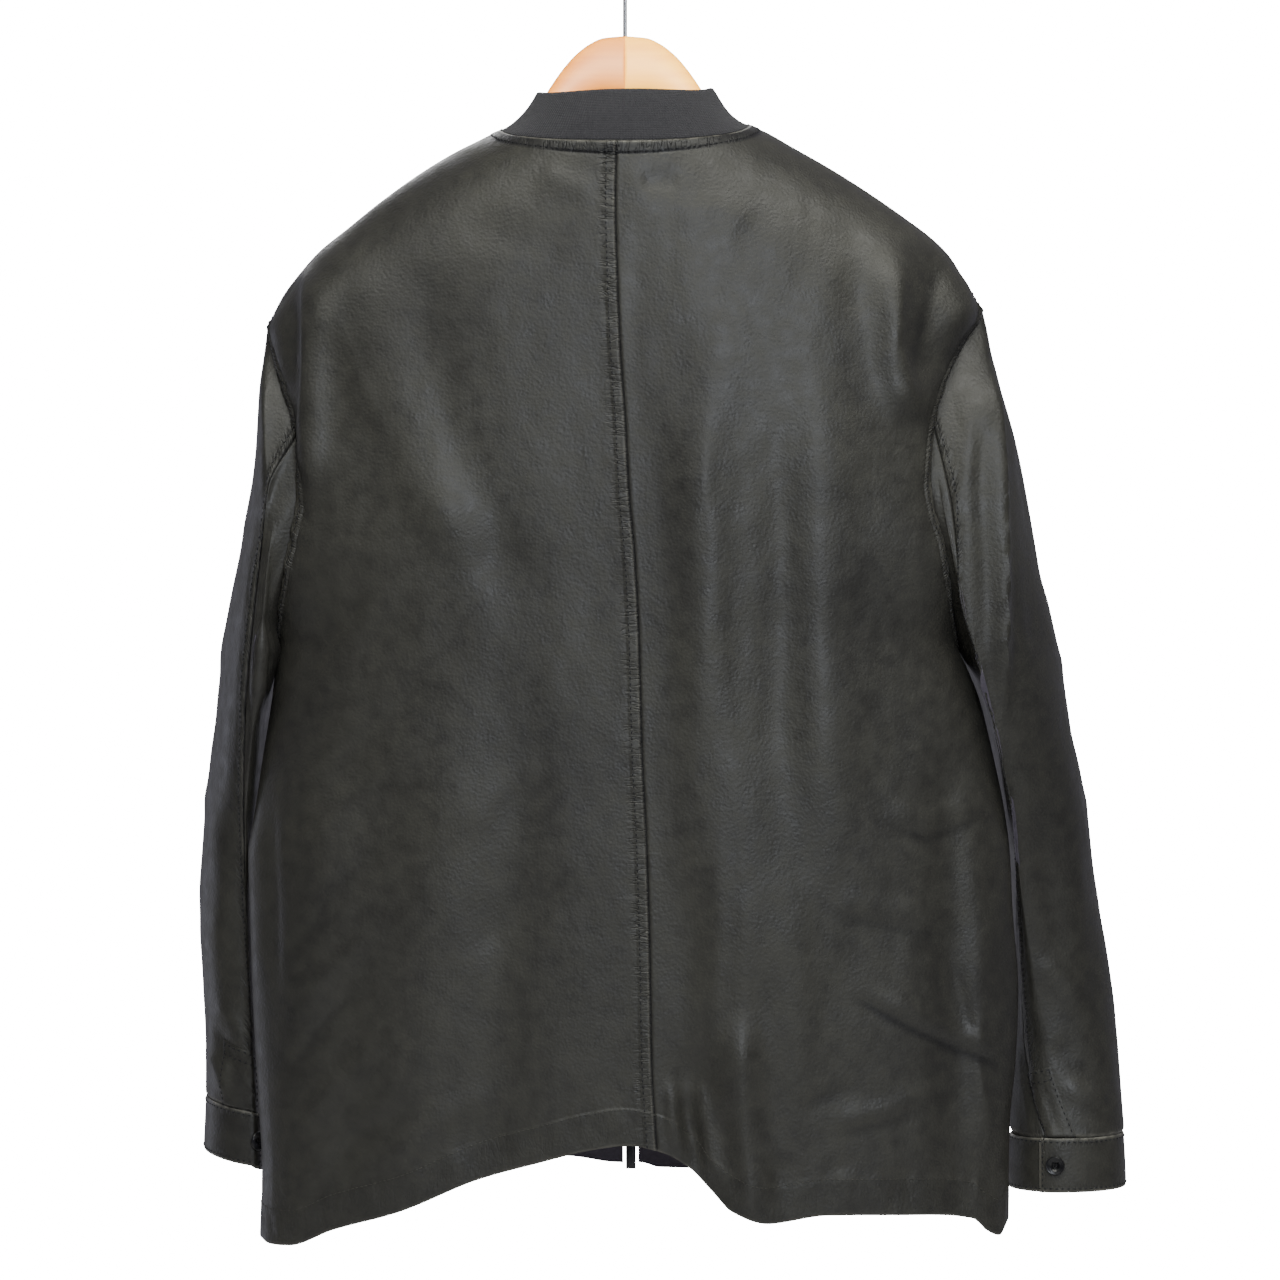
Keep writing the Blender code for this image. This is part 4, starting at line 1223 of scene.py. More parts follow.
class PathRepeat:
    """Copies of one small shape along polylines, turned to follow them."""

    def __init__(self, name: str, tooth: Object | None = None) -> None:
        """Builds the tree. With no tooth, the shape is a thread's stitch."""
        self.tooth = tooth
        self.tree = bpy.data.node_groups.new(name, "GeometryNodeTree")
        kinds = {
            "Geometry": "NodeSocketGeometry",
            "Pitch": "NodeSocketFloat",
            "Length": "NodeSocketFloat",
            "Radius": "NodeSocketFloat",
            "Shape": "NodeSocketObject",
            "Finish": "NodeSocketMaterial",
        }
        self.sockets = {
            label: self.tree.interface.new_socket(label, in_out="INPUT", socket_type=kind)
            for label, kind in kinds.items()
        }
        self.tree.interface.new_socket("Geometry", in_out="OUTPUT", socket_type="NodeSocketGeometry")
        self.join()

    def join(self) -> None:
        """Adds the tree's nodes, from the group's input to its output."""
        tree = self.tree
        given = add_node(tree, "NodeGroupInput", {}).outputs
        lines = add_node(tree, "GeometryNodeMeshToCurve", {"Mesh": given["Geometry"]})
        spaced = add_node(
            tree, "GeometryNodeResampleCurve", {"Curve": lines, "Length": given["Pitch"]}, mode="LENGTH"
        )
        points = add_node(tree, "GeometryNodeCurveToPoints", {"Curve": spaced}, mode="EVALUATED")
        way = {"Vector": points.outputs["Tangent"]}
        turned = add_node(tree, "FunctionNodeAlignRotationToVector", way, axis="Z")
        if self.tooth is None:
            ball = add_node(tree, "GeometryNodeMeshUVSphere", {"Segments": 6, "Rings": 4, "Radius": 1.0})
            half = add_node(tree, MATH, {0: given["Length"], 1: 0.5}, operation="MULTIPLY")
            axes = {"X": given["Radius"], "Y": given["Radius"], "Z": half}
            size = add_node(tree, "ShaderNodeCombineXYZ", axes)
            shape: Any = add_node(tree, "GeometryNodeTransform", {"Geometry": ball, "Scale": size})
        else:
            shape = add_node(tree, "GeometryNodeObjectInfo", {"Object": given["Shape"]}).outputs["Geometry"]
        placed = {"Points": points, "Instance": shape, "Rotation": turned}
        copies = add_node(tree, "GeometryNodeInstanceOnPoints", placed)
        real = add_node(tree, "GeometryNodeRealizeInstances", {"Geometry": copies})
        finished = add_node(tree, "GeometryNodeSetMaterial", {"Geometry": real, "Material": given["Finish"]})
        add_node(tree, "NodeGroupOutput", {"Geometry": finished})

    def along(
        self,
        name: str,
        lines: Sequence[np.ndarray],
        finish: Material,
        pitch: float,
        length: float = 0.0,
        radius: float = 0.0,
    ) -> Object:
        """Makes the copies along some lines, as one plain mesh.

        Args:
            name: The object's name.
            lines: Each line's points, in millimetres.
            finish: The copies' material.
            pitch: The distance between two copies.
            length: A stitch's length.
            radius: A stitch's radius.

        Returns:
            The object, in the scene.
        """
        points: list[list[float]] = []
        edges: list[tuple[int, int]] = []
        for line in lines:
            first = len(points)
            points += (np.asarray(line) * MM).tolist()
            edges += [(first + i, first + i + 1) for i in range(len(line) - 1)]
        mesh = bpy.data.meshes.new(name)
        mesh.from_pydata(points, edges, [])
        made = new_object(name, mesh)
        modifier = made.modifiers.new("repeat", "NODES")
        modifier.node_group = self.tree
        values = {
            "Pitch": pitch * MM,
            "Length": length * MM,
            "Radius": radius * MM,
            "Shape": self.tooth,
            "Finish": finish,
        }
        for label, value in values.items():
            if value is not None:
                modifier[self.sockets[label].identifier] = value
        made = applied(made)
        made.data.shade_smooth()
        return made


# ---- The workshop: what every sub-assembly shares ----


class Stitch(NamedTuple):
    """A row of stitches: the distance between two, and a stitch's length and radius."""

    pitch: float
    long: float
    radius: float


@dataclass
class Workshop:
    """Keeps the materials and the stitcher, and puts each finished piece on its body."""

    palette: Palette = field(default_factory=Palette)
    stitcher: PathRepeat = field(default_factory=lambda: PathRepeat("topstitching"))
    hem_stitch: Stitch = Stitch(3.4, 2.7, 0.32)
    seam_stitch: Stitch = Stitch(4.1, 2.3, 0.48)

    def hand_over(
        self, made: Object, slot: str, nodes: Sequence[str] = (), body: str = JACKET
    ) -> Object:
        """Rides a piece on its body, hides the solids that it stands for, and logs it.

        Args:
            made: The finished piece.
            slot: Not used.
            nodes: The solids that it stands for.
            body: The body that it rides on.

        Returns:
            The same piece.
        """
        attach(made, body)
        if nodes:
            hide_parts(*nodes)
        made.data.calc_loop_triangles()
        log.info("%s: %d triangles", made.name, len(made.data.loop_triangles))
        return made

    def declare(
        self, made: Object, cloth: "Cloth", rests_on: Sequence[str], sewn_on: Sequence[Object] = ()
    ) -> None:
        """Logs the size that a piece of cloth was cut to.

        Args:
            made: The piece.
            cloth: Its outer surface.
            rests_on: Not used.
            sewn_on: Not used.
        """
        wide, long = cloth.flat_m
        area = min(round(cloth.area_m2, 5), round(wide * long, 5))
        log.info("%s: cut from %.3f by %.3f m, %.4f square metres", made.name, wide, long, area)

    def stitch(self, name: str, lines: Sequence[np.ndarray], dark: bool = False) -> Object:
        """Sews lines of topstitching, as one piece on the jacket.

        Args:
            name: The piece's name.
            lines: Each line's points.
            dark: Whether they are a seam's dark stitches, and not a hem's paler ones.

        Returns:
            The piece.
        """
        thread, size = self.palette.thread, self.hem_stitch
        if dark:
            thread, size = self.palette.thread_dark, self.seam_stitch
        return self.hand_over(self.stitcher.along(name, lines, thread, *size), "leather")


# ---- The body ----


@dataclass
class BodyCut:
    """The body's form: where each panel's rows start, end and hang."""

    underarm_down: float = 505.0
    underarm_depth: float = 4.0
    shoulder_sweep: float = 12.0
    shoulder_out: float = 251.5
    neck_out: float = 87.0
    neck_down: dict[Face, float] = field(default_factory=lambda: {Face.BACK: 159.0, Face.FRONT: 225.0})
    shoulder_down: dict[Face, float] = field(default_factory=lambda: {Face.BACK: 285.0, Face.FRONT: 318.0})
    armpit_down: dict[Face, float] = field(default_factory=lambda: {Face.BACK: 500.0, Face.FRONT: 512.0})
    front_depth: float = 64.0
    front_edge: float = 6.3
    zip_top_x: float = 0.5
    zip_bottom_x: float = 3.9
    zip_foot_down: float = 875.6
    shoulder_rows: int = 8
    armhole_rows: int = 10
    side_rows: int = 14
    columns: dict[Face, int] = field(default_factory=lambda: {Face.BACK: 14, Face.FRONT: 10})

    @property
    def rows(self) -> int:
        """How many coarse rows a panel has."""
        return self.shoulder_rows + self.armhole_rows + self.side_rows

    def zip_line(self, down: float) -> float:
        """The zip's X at a height."""
        top = self.neck_down[Face.FRONT]
        part = (down - top) / (self.zip_foot_down - top)
        return self.zip_top_x + (self.zip_bottom_x - self.zip_top_x) * part

    def hem_down(self, face: Face, across: Any) -> np.ndarray:
        """The hem's distance down at an X."""
        return eased(BACK_HEM if face is Face.BACK else FRONT_HEM, "across", "down")(across)

    def armhole_point(self, side: Side, face: Face, step: float) -> np.ndarray:
        """A point of the armhole, by its coarse step from the shoulder point.

        Args:
            side: Which side.
            face: Back or front.
            step: The step, which needn't be whole.

        Returns:
            The point in millimetres.
        """
        part = (1 - math.cos(math.pi * step / self.armhole_rows)) / 2
        down = float(eased(RIDGE, "out", side.value)(self.shoulder_out))
        out = float(eased(ARMHOLE, "part", f"{face.value}_{side.value}")(part))
        depth = float(eased(ARMHOLE, "part", face.value)(part))
        return np.array([side.sign * out, depth, -(down + (self.underarm_down - down) * part)])

    def end_of_row(self, side: Side, face: Face, row: float) -> np.ndarray:
        """Where a row ends: on the shoulder seam, the armhole or the side seam.

        Args:
            side: Which side.
            face: Back or front.
            row: The coarse row, which needn't be whole.

        Returns:
            The point in millimetres.
        """
        if row <= self.shoulder_rows:
            out = self.neck_out + (self.shoulder_out - self.neck_out) * row / self.shoulder_rows
            depth = self.shoulder_sweep * (out / self.shoulder_out) ** 2
            return np.array([side.sign * out, depth, -float(eased(RIDGE, "out", side.value)(out))])
        if row <= self.shoulder_rows + self.armhole_rows:
            return self.armhole_point(side, face, row - self.shoulder_rows)
        seam = eased(SIDE_SEAM, "down", side.value)
        part = (row - self.shoulder_rows - self.armhole_rows) / self.side_rows
        foot = float(self.hem_down(Face.BACK, side.sign * seam(SIDE_SEAM[-1].down)))
        down = self.underarm_down + (foot - self.underarm_down) * part
        return np.array([side.sign * float(seam(down)), self.underarm_depth, -down])

    def start_of_row(self, side: Side, face: Face, row: float) -> np.ndarray:
        """Where a row starts: on the centre-back seam or the front edge.

        Args:
            side: Which side.
            face: Back or front.
            row: The coarse row, which needn't be whole.

        Returns:
            The point in millimetres.
        """
        marks = (self.neck_down[face], self.shoulder_down[face], self.armpit_down[face])
        if face is Face.BACK:
            foot = float(self.hem_down(face, SPINE[-1].across))
        else:
            foot = float(self.hem_down(face, self.zip_bottom_x + side.sign * self.front_edge))
        ends = (0, self.shoulder_rows, self.shoulder_rows + self.armhole_rows, self.rows)
        down = float(np.interp(row, ends, (*marks, foot)))
        if face is Face.BACK:
            across = float(eased(SPINE, "down", "across")(down))
            return np.array([across, -float(eased(SPINE, "down", "deep")(down)), -down])
        return np.array([self.zip_line(down) + side.sign * self.front_edge, self.front_depth, -down])

    def fold_lift(self, face: Face, across: np.ndarray, down: np.ndarray) -> np.ndarray:
        """How far the large folds stand out.

        Args:
            face: Back or front.
            across: The places' X.
            down: The places' distance below the origin.

        Returns:
            The lift in millimetres.
        """
        lift = np.zeros_like(across)
        for fold in BACK_FOLDS if face is Face.BACK else FRONT_FOLDS:
            along = (down - fold.down_top) / (fold.down_foot - fold.down_top)
            line = fold.across_top + (fold.across_foot - fold.across_top) * along
            window = smooth_step(along / 0.3 + 0.5) * smooth_step((1 - along) / 0.3 + 0.5)
            lift += fold.height * window * np.exp(-(((across - line) / fold.half_width) ** 2))
        return lift

    def row_points(self, side: Side, face: Face, row: float, share: np.ndarray) -> np.ndarray:
        """The points of one row of a panel, at shares of the way from its centre to its side.

        Args:
            side: Which side.
            face: Back or front.
            row: The coarse row.
            share: The shares, from 0 to 1.

        Returns:
            The points in millimetres.
        """
        start, end = self.start_of_row(side, face, row), self.end_of_row(side, face, row)
        shoulder = smooth_step(row / self.shoulder_rows)
        below = max(0.0, (row - self.shoulder_rows - self.armhole_rows) / self.side_rows)
        power = 2.0 + 1.0 * shoulder - 0.5 * smooth_step(below)
        across = start[0] + (end[0] - start[0]) * share
        round_share = np.clip(1 - share**power, 0, 1)
        depth = end[1] + (start[1] - end[1]) * np.sqrt(round_share)
        height = end[2] + (start[2] - end[2]) * np.clip(1 - share**2, 0, 1) ** (0.5 + 0.5 * shoulder)
        hem_rise = self.hem_down(face, across[-1]) - self.hem_down(face, across)
        height += below**3 * (hem_rise - hem_rise[0] * (1 - share**2))
        held = np.clip(4 * share * (1 - share**8), 0, 1)
        lift = self.fold_lift(face, across, -height) * held * shoulder
        depth += lift * (-1 if face is Face.BACK else 1)
        points = np.stack([across, depth, height], axis=1)
        points[0], points[-1] = start, end
        return points

    def panel(self, side: Side, face: Face, rows: np.ndarray, columns: np.ndarray) -> Cloth:
        """Half a back or one front, in rows from the centre to the side.

        Args:
            side: Which side.
            face: Back or front.
            rows: Where its rows lie, in coarse rows.
            columns: Where its columns lie, in coarse columns.

        Returns:
            Its outer surface.
        """
        share = np.sin(columns / self.columns[face] * math.pi / 2)
        points = np.array([self.row_points(side, face, row, share) for row in rows])
        turned = (side is Side.LEFT) == (face is Face.BACK)
        return Cloth(points, -1 if turned else 1)


BACK_CREASES = table(
    Crease,
    # lower right of the back: drag lines from the side towards the hem
    (((173, 625), (190, 631), (207, 638), (230, 631), (252, 620)), 7, -0.9, 0.2, 0.3, 0.42),
    (((176, 612), (208, 622), (246, 610)), 10, 1.5, 0.4),
    (((130, 684), (165, 694), (200, 702), (240, 704)), 8, -0.7, 0.2, 0.3, 0.34),
    (((140, 674), (180, 684), (234, 690)), 11, 1.2, 0.4),
    (((150, 742), (176, 757), (200, 770), (232, 785), (266, 798)), 7, -1.3, 0.2, 0.2, 0.75),
    (((168, 738), (200, 756), (232, 772), (262, 784)), 9, 2.2, 0.5),
    (((138, 842), (180, 832), (221, 817)), 7, -0.9, 0.2, 0.3, 0.36),
    (((112, 826), (140, 812), (170, 806)), 7, -0.7, 0.2, 0.3, 0.26),
    (((138, 832), (180, 822), (224, 806)), 10, 1.3, 0.4),
    (((160, 812), (200, 818), (246, 812)), 7, -0.5, 0.2, 0.3, 0.22),
    (((248, 740), (243, 790), (250, 830), (247, 870)), 7, 2.6, 0.3),
    (((236, 640), (246, 700), (247, 760)), 10, 2),
    (((215, 700), (236, 760), (243, 830)), 9, -2, 0.3),
    # vertical rolls right of the centre seam
    (((44, 300), (48, 430), (50, 560), (48, 720)), 18, 3.8, 0, 0.25),
    (((74, 300), (76, 440), (80, 620)), 16, -2.5),
    (((102, 340), (106, 480), (104, 640)), 17, -3),
    (((130, 400), (134, 520), (130, 660)), 18, 2.2),
    (((66, 600), (64, 690), (58, 800)), 10, 1.8, 0.3),
    (((92, 700), (96, 780), (98, 870)), 12, -1.7),
    (((112, 640), (118, 730), (118, 850)), 14, 1.6),
    # soft folds at the hem right of the centre seam
    (((30, 796), (35, 835), (40, 866)), 6, 3),
    (((40, 806), (46, 842), (51, 876)), 6.5, -2.6),
    (((50, 790), (59, 850), (64, 886)), 6.5, 4, 0.3),
    (((66, 810), (72, 856), (77, 892)), 6, -2.2),
    (((104, 850), (106, 880), (108, 900)), 9, -2),
    (((150, 860), (152, 880), (154, 896)), 8, 1.6),
    (((192, 858), (194, 880), (196, 897)), 9, -1.8),
    # left half: long diagonal drag lines
    (((-222, 560), (-190, 500), (-150, 455)), 10, 1.5, 0.3),
    (((-214, 620), (-170, 560), (-120, 520)), 11, -1.6, 0.2),
    (((-232, 660), (-190, 610), (-140, 570)), 9, 1.5, 0.3),
    (((-236, 730), (-196, 670), (-150, 620)), 10, -1.3, 0.2, 0.3, 0.2),
    (((-238, 770), (-205, 730), (-160, 690)), 8, 1.7, 0.3),
    (((-240, 812), (-212, 770), (-176, 735)), 8, -1.4, 0.3, 0.3, 0.25),
    (((-232, 850), (-200, 806), (-160, 770)), 9, 1.8, 0.3),
    (((-216, 876), (-176, 838), (-130, 812)), 10, -1.6, 0.2),
    (((-170, 860), (-120, 825), (-70, 806)), 11, 1.3),
    (((-120, 640), (-80, 600), (-40, 580)), 12, 1.2),
    (((-110, 720), (-60, 680), (-24, 664)), 12, -1.2),
    (((-246, 600), (-243, 680), (-242, 760)), 8, -2.2, 0.3),
    # upper left: bands from the shoulder towards the centre
    (((-200, 234), (-180, 284), (-152, 350), (-120, 430)), 24, -3, 0.2),
    (((-150, 250), (-112, 350), (-80, 450)), 20, 1.6),
    (((-206, 262), (-184, 318), (-160, 372)), 9, 0.9, 0.3),
    (((-221, 236), (-220, 280), (-220, 330), (-223, 400)), 11, 4.6, -0.6, 0.2),
    (((-233, 244), (-230, 290), (-229, 340)), 6.5, -3.4, 0.2),
    # upper right: the fold beside the armhole
    (((194, 232), (188, 270), (187, 300), (203, 352)), 11, 3.4, 0.6, 0.25),
    (((222, 230), (212, 262), (203, 294), (199, 326)), 9, -1.8, 0.2, 0.3, 0.36),
    (((236, 236), (237, 266), (233, 298)), 7, 1.4, 0.2),
    (((150, 200), (160, 240), (158, 290)), 14, -1.4),
    # round the neck
    (((8, 190), (22, 186), (40, 188)), 9, -1.8),
    (((-60, 178), (-40, 190), (-16, 194)), 10, 1.2),
    (((30, 214), (60, 206), (96, 212)), 12, 1.2),
    (((-120, 210), (-80, 226), (-40, 232)), 14, -1.1),
)
FRONT_CREASES = table(
    Crease,
    (((-226, 300), (-190, 340), (-150, 380)), 11, 2.4, 0.2),
    (((-222, 360), (-180, 400), (-130, 424)), 10, -2.2),
    (((222, 300), (186, 345), (150, 372)), 11, 2.2, 0.2),
    (((220, 372), (176, 404), (128, 430)), 10, -2),
    (((-230, 560), (-180, 590), (-120, 604)), 10, -2),
    (((-236, 620), (-190, 655), (-130, 672)), 11, 2),
    (((-232, 720), (-190, 742), (-140, 752)), 9, -2.2),
    (((-90, 700), (-60, 760), (-50, 830)), 12, 1.6),
    (((240, 600), (190, 636), (140, 650)), 10, -2.2),
    (((246, 700), (200, 726), (150, 738)), 10, 2.2),
    (((240, 780), (200, 800), (140, 806)), 9, -2.2),
    (((90, 660), (66, 730), (60, 820)), 12, 1.6),
    (((-40, 300), (-46, 360), (-40, 430)), 13, -1.4),
    (((40, 290), (50, 360), (44, 420)), 13, -1.3),
)


@dataclass
class Body:
    """The two halves of the back and the two fronts, topstitched and hemmed."""

    workshop: Workshop
    cut: BodyCut = field(default_factory=BodyCut)
    fine_rows: int = 10
    fine_columns: int = 9
    rows_close: tuple[float, ...] = (0.03, 0.06, 0.53, 0.56, 0.65, 1.03, 1.06, 1.09, 1.15)
    columns_close: tuple[float, ...] = (0.02, 0.05, 0.08, 0.14, 0.17, 0.25, 0.28, 0.305, 0.36)
    leather: float = 1.3
    centre: Band = Band(8.4, 0.35, 0.4, 19)
    neck: Band = Band(8.8, 0.6, 0.25, 3)
    hem: Band = Band(26.0, 0.4, 0.45, 7)
    armhole: Band = Band(9.4, 1.1, 0.9, 13)
    stitch_in: float = 1.4
    hide: tuple[Wave, ...] = table(Wave, (0.9, 0.35, 46, 90, 0), (0.42, 0.2, 19, 38, 1), (0.16, 0, 8, 14, 2))
    hide_seed: dict[Face, int] = field(default_factory=lambda: {Face.BACK: 11, Face.FRONT: 31})
    held: tuple[tuple[Edge, float], ...] = ((Edge.TOP, 26.0), (Edge.FIRST, 16.0), (Edge.LAST, 14.0))
    hem_hold: float = 0.35
    hem_fade: float = 30.0
    crease_line_sharp: float = 2.6
    turn_rows: int = 8
    turn_fade: float = 2.2
    turn_edge: float = 14.0
    rubs: tuple[Rub, ...] = table(
        Rub,
        ("wear", Edge.TOP, 0.7, 0.6, 0.8, ("broken",)),
        ("wear", Edge.FOOT, 0.4, 1.0, 0.35, ("broken",)),
        ("wear", Edge.FOOT, 26.0, 0.7, 0.07, ("broken",)),
        ("wear", Edge.FIRST, 1.6, 0.6, 0.25, ("banded", "broken")),
        ("wear", Edge.LAST, 3.5, 3.0, 0.22, ("armhole", "broken")),
        ("seam", Edge.FIRST, 0.0, 0.7, 0.95),
        ("seam", Edge.LAST, 0.0, 0.9, 0.9, ("armhole",)),
        ("seam", Edge.TOP, 8.8, 1.0, 0.3),
        ("seam", Edge.FIRST, 8.4, 0.8, 0.12, ("banded",)),
    )

    def eased_panel(self, side: Side, face: Face, rows: np.ndarray, columns: np.ndarray) -> Cloth:
        """One plain panel, rounded over where it turns at the shoulder point and the underarm.

        Args:
            side: Which side.
            face: Back or front.
            rows: Where its rows lie, in coarse rows.
            columns: Where its columns lie, in coarse columns.

        Returns:
            Its outer surface.
        """
        cut = self.cut
        plain = cut.panel(side, face, rows, columns)
        reach = np.arange(-2 * self.turn_rows, 2 * self.turn_rows + 1)
        weights = np.exp(-((reach / self.turn_rows) ** 2))
        padded = np.pad(plain.points, ((len(reach) // 2,) * 2, (0, 0), (0, 0)), "edge")
        soft = sum(w * padded[i : i + len(rows)] for i, w in enumerate(weights / weights.sum()))
        turns = (cut.shoulder_rows, cut.shoulder_rows + cut.armhole_rows)
        share = np.max([line_at(rows, turn, self.turn_fade) for turn in turns], axis=0)[:, None]
        for edge in (Edge.FIRST, Edge.LAST):
            share = share * smooth_step(plain.from_edge(edge) / self.turn_edge)
        return Cloth(plain.points + (soft - plain.points) * share[..., None], plain.sense)

    def sewn_cloth(self, side: Side, face: Face) -> Cloth:
        """One panel with its creases, bands and rolled edges.

        Args:
            side: Which side.
            face: Back or front.

        Returns:
            Its finished outer surface.
        """
        cut = self.cut
        rows = fine_steps(cut.rows, self.fine_rows, self.rows_close)
        columns = fine_steps(cut.columns[face], self.fine_columns, self.columns_close)
        plain = self.eased_panel(side, face, rows, columns)
        creases = BACK_CREASES if face is Face.BACK else FRONT_CREASES
        lift = uneven(self.hide, plain.across, plain.down, self.hide_seed[face])
        for crease in creases:
            lift += crease.height * crease.profile(plain.across, plain.down)
        for edge, reach in self.held:
            lift *= smooth_step(plain.from_edge(edge) / reach)
        free = smooth_step(plain.from_edge(Edge.FOOT) / self.hem_fade)
        lift *= self.hem_hold + (1 - self.hem_hold) * free
        armhole_end = cut.shoulder_rows + cut.armhole_rows
        on_armhole = (rows >= cut.shoulder_rows) * smooth_step((armhole_end + 0.2 - rows) / 0.6)
        on_armhole = np.broadcast_to(on_armhole[:, None], lift.shape)
        banded = face is Face.FRONT or side is Side.LEFT
        lift += plain.band(Edge.TOP, self.neck, side) + plain.band(Edge.FOOT, self.hem, side)
        lift += plain.band(Edge.LAST, self.armhole, side) * on_armhole
        lift += plain.band(Edge.FIRST, self.centre, side) * banded
        lift += plain.seam_dip((Edge.TOP, Edge.FIRST, Edge.LAST), 0.9)
        lift += plain.seam_dip((Edge.FOOT,), 0.5, 1.4)
        cloth = plain.raised(lift)
        cloth.marks = self.marks(plain, on_armhole, banded)
        # painted shade: each crease darkens the leather along its bottom, through the seam mark
        for crease in creases:
            dark = crease.line * crease.profile(plain.across, plain.down, self.crease_line_sharp)
            cloth.marks["seam"] += dark
        return cloth

    def marks(self, plain: Cloth, on_armhole: np.ndarray, banded: bool) -> dict[str, np.ndarray]:
        """Where one panel is rubbed, dark in a seam or on its neck band, painted with shade on its hem band,
        or gathered by its sewing.

        Args:
            plain: The panel.
            on_armhole: 1 on the rows that end at the armhole.
            banded: Whether its centre edge is topstitched.

        Returns:
            The cloth's marks.
        """
        broken = 0.5 + 0.5 * value_noise(plain.across, plain.down, 3.5, 9.0, 61)
        marks = plain.rubbed(self.rubs, {"broken": broken, "banded": banded, "armhole": on_armhole})
        near_neck = plain.beside(Edge.TOP, self.neck.wide, 1.5)
        near_centre = plain.beside(Edge.FIRST, self.centre.wide, 5.0) * banded
        near_armhole = plain.beside(Edge.LAST, self.armhole.wide, 4.0) * on_armhole
        on_hem = plain.beside(Edge.FOOT, self.hem.wide - 3.0, 3.0)
        top, foot = plain.from_edge(Edge.TOP), plain.from_edge(Edge.FOOT)
        # the band under the collar is drawn darker, and the hem band gets painted shade
        marks["seam"] += 0.62 * near_neck * smooth_step(top / 2.0) + 0.12 * on_hem
        marks["ruck_down"] = np.maximum(near_centre, near_armhole)
        marks["ruck_across"] = np.maximum(0.6 * near_neck, 0.2 * on_hem * smooth_step(foot / 4.0))
        return marks

    def stitch_lines(self, cloth: Cloth, side: Side, face: Face) -> list[np.ndarray]:
        """The topstitching on one panel, but for its hem's.

        Args:
            cloth: The panel's outer surface.
            side: Which side.
            face: Back or front.

        Returns:
            Each line's points.
        """
        cut = self.cut
        start, stop = cut.shoulder_rows / cut.rows, (cut.shoulder_rows + cut.armhole_rows) / cut.rows
        lines = [
            cloth.row_line(Edge.TOP, self.neck.wide - 1.0, 0.01, 0.985),
            cloth.row_line(Edge.LAST, self.armhole.wide - self.stitch_in, start + 0.005, stop - 0.01),
        ]
        if face is Face.FRONT or side is Side.LEFT:
            lines.append(cloth.row_line(Edge.FIRST, self.centre.wide - self.stitch_in, 0.02, 0.995))
        return lines

    def build(self) -> None:
        """Makes the four panels and their stitching."""
        shop = self.workshop
        leather, flesh = shop.palette.leather, shop.palette.flesh
        for side in Side:
            for face in Face:
                node = f"{face.value}_{side.value}"
                cloth = self.sewn_cloth(side, face)
                seams = (Edge.TOP, Edge.FIRST, Edge.LAST)
                made = Shell(f"{node}_leather", cloth, self.leather, seams).build(leather, flesh)
                shop.hand_over(made, "leather", (node,))
                hem = [cloth.row_line(Edge.FOOT, self.hem.wide - 1.0)]
                threads = (
                    shop.stitch(f"{node}_stitching", self.stitch_lines(cloth, side, face), dark=True),
                    shop.stitch(f"{node}_hem_stitching", hem),
                )
                shop.declare(made, cloth, (f"hanger_{side.value}_wood",), threads)


# ---- Sleeves, cuffs and plackets ----

SLEEVE_CREASES = {
    Side.RIGHT: table(
        Crease,
        # the long upright fold of the upper sleeve, sharp on its outer side
        (((252, 300), (258, 380), (260, 460), (261, 552)), 12, 7.5, 0.6, 0.2),
        (((257, 296), (259, 380), (262, 470), (264, 566)), 4.5, 2.6, 0, 0.15),
        (((246, 320), (246, 390), (249, 470), (252, 560)), 7, -3.6, 0, 0.2),
        (((276, 330), (285, 440), (291, 552)), 13, -4),
        (((306, 560), (318, 640), (322, 720)), 14, 2.2),
        (((292, 610), (300, 680), (312, 750)), 12, -2.4),
        (((336, 620), (334, 700), (340, 790)), 12, -2),
        (((292, 720), (306, 738), (326, 760)), 9, 2.2),
        (((300, 780), (318, 800), (340, 812)), 9, -1.8),
        (((306, 812), (324, 822), (346, 822)), 7, 1.6),
        # closes the gap between the sleeve and the side seam above the cuff
        (((277, 770), (275, 820), (274, 880)), 13, 3, 0, 0.3),
    ),
    Side.LEFT: table(
        Crease,
        # closes the gap between the sleeve and the side seam under the arm
        (((-243, 485), (-244, 515), (-248, 560)), 11, 9, 0, 0.35),
        (((-246, 330), (-244, 400), (-250, 450)), 8, -2.4),
        (((-258, 420), (-262, 500), (-268, 560)), 8, 2),
        (((-280, 480), (-286, 560), (-292, 640)), 9, -2.4),
        (((-292, 610), (-284, 680), (-288, 740)), 9, 2),
        (((-298, 790), (-288, 806), (-280, 826)), 5, 2.6),
        (((-294, 770), (-282, 790), (-272, 812)), 6, -2.4),
        (((-290, 752), (-278, 768), (-268, 790)), 6, 2),
    ),
}
FRONT_SLEEVE_CREASES = table(
    Crease,
    (((264, 420), (290, 452), (318, 470)), 10, -3),
    (((262, 480), (292, 512), (326, 524)), 10, 3),
    (((268, 540), (300, 566), (334, 574)), 10, -3.2),
    (((272, 600), (304, 616), (344, 618)), 10, 2.8),
    (((276, 680), (310, 700), (350, 704)), 10, -2.4),
)


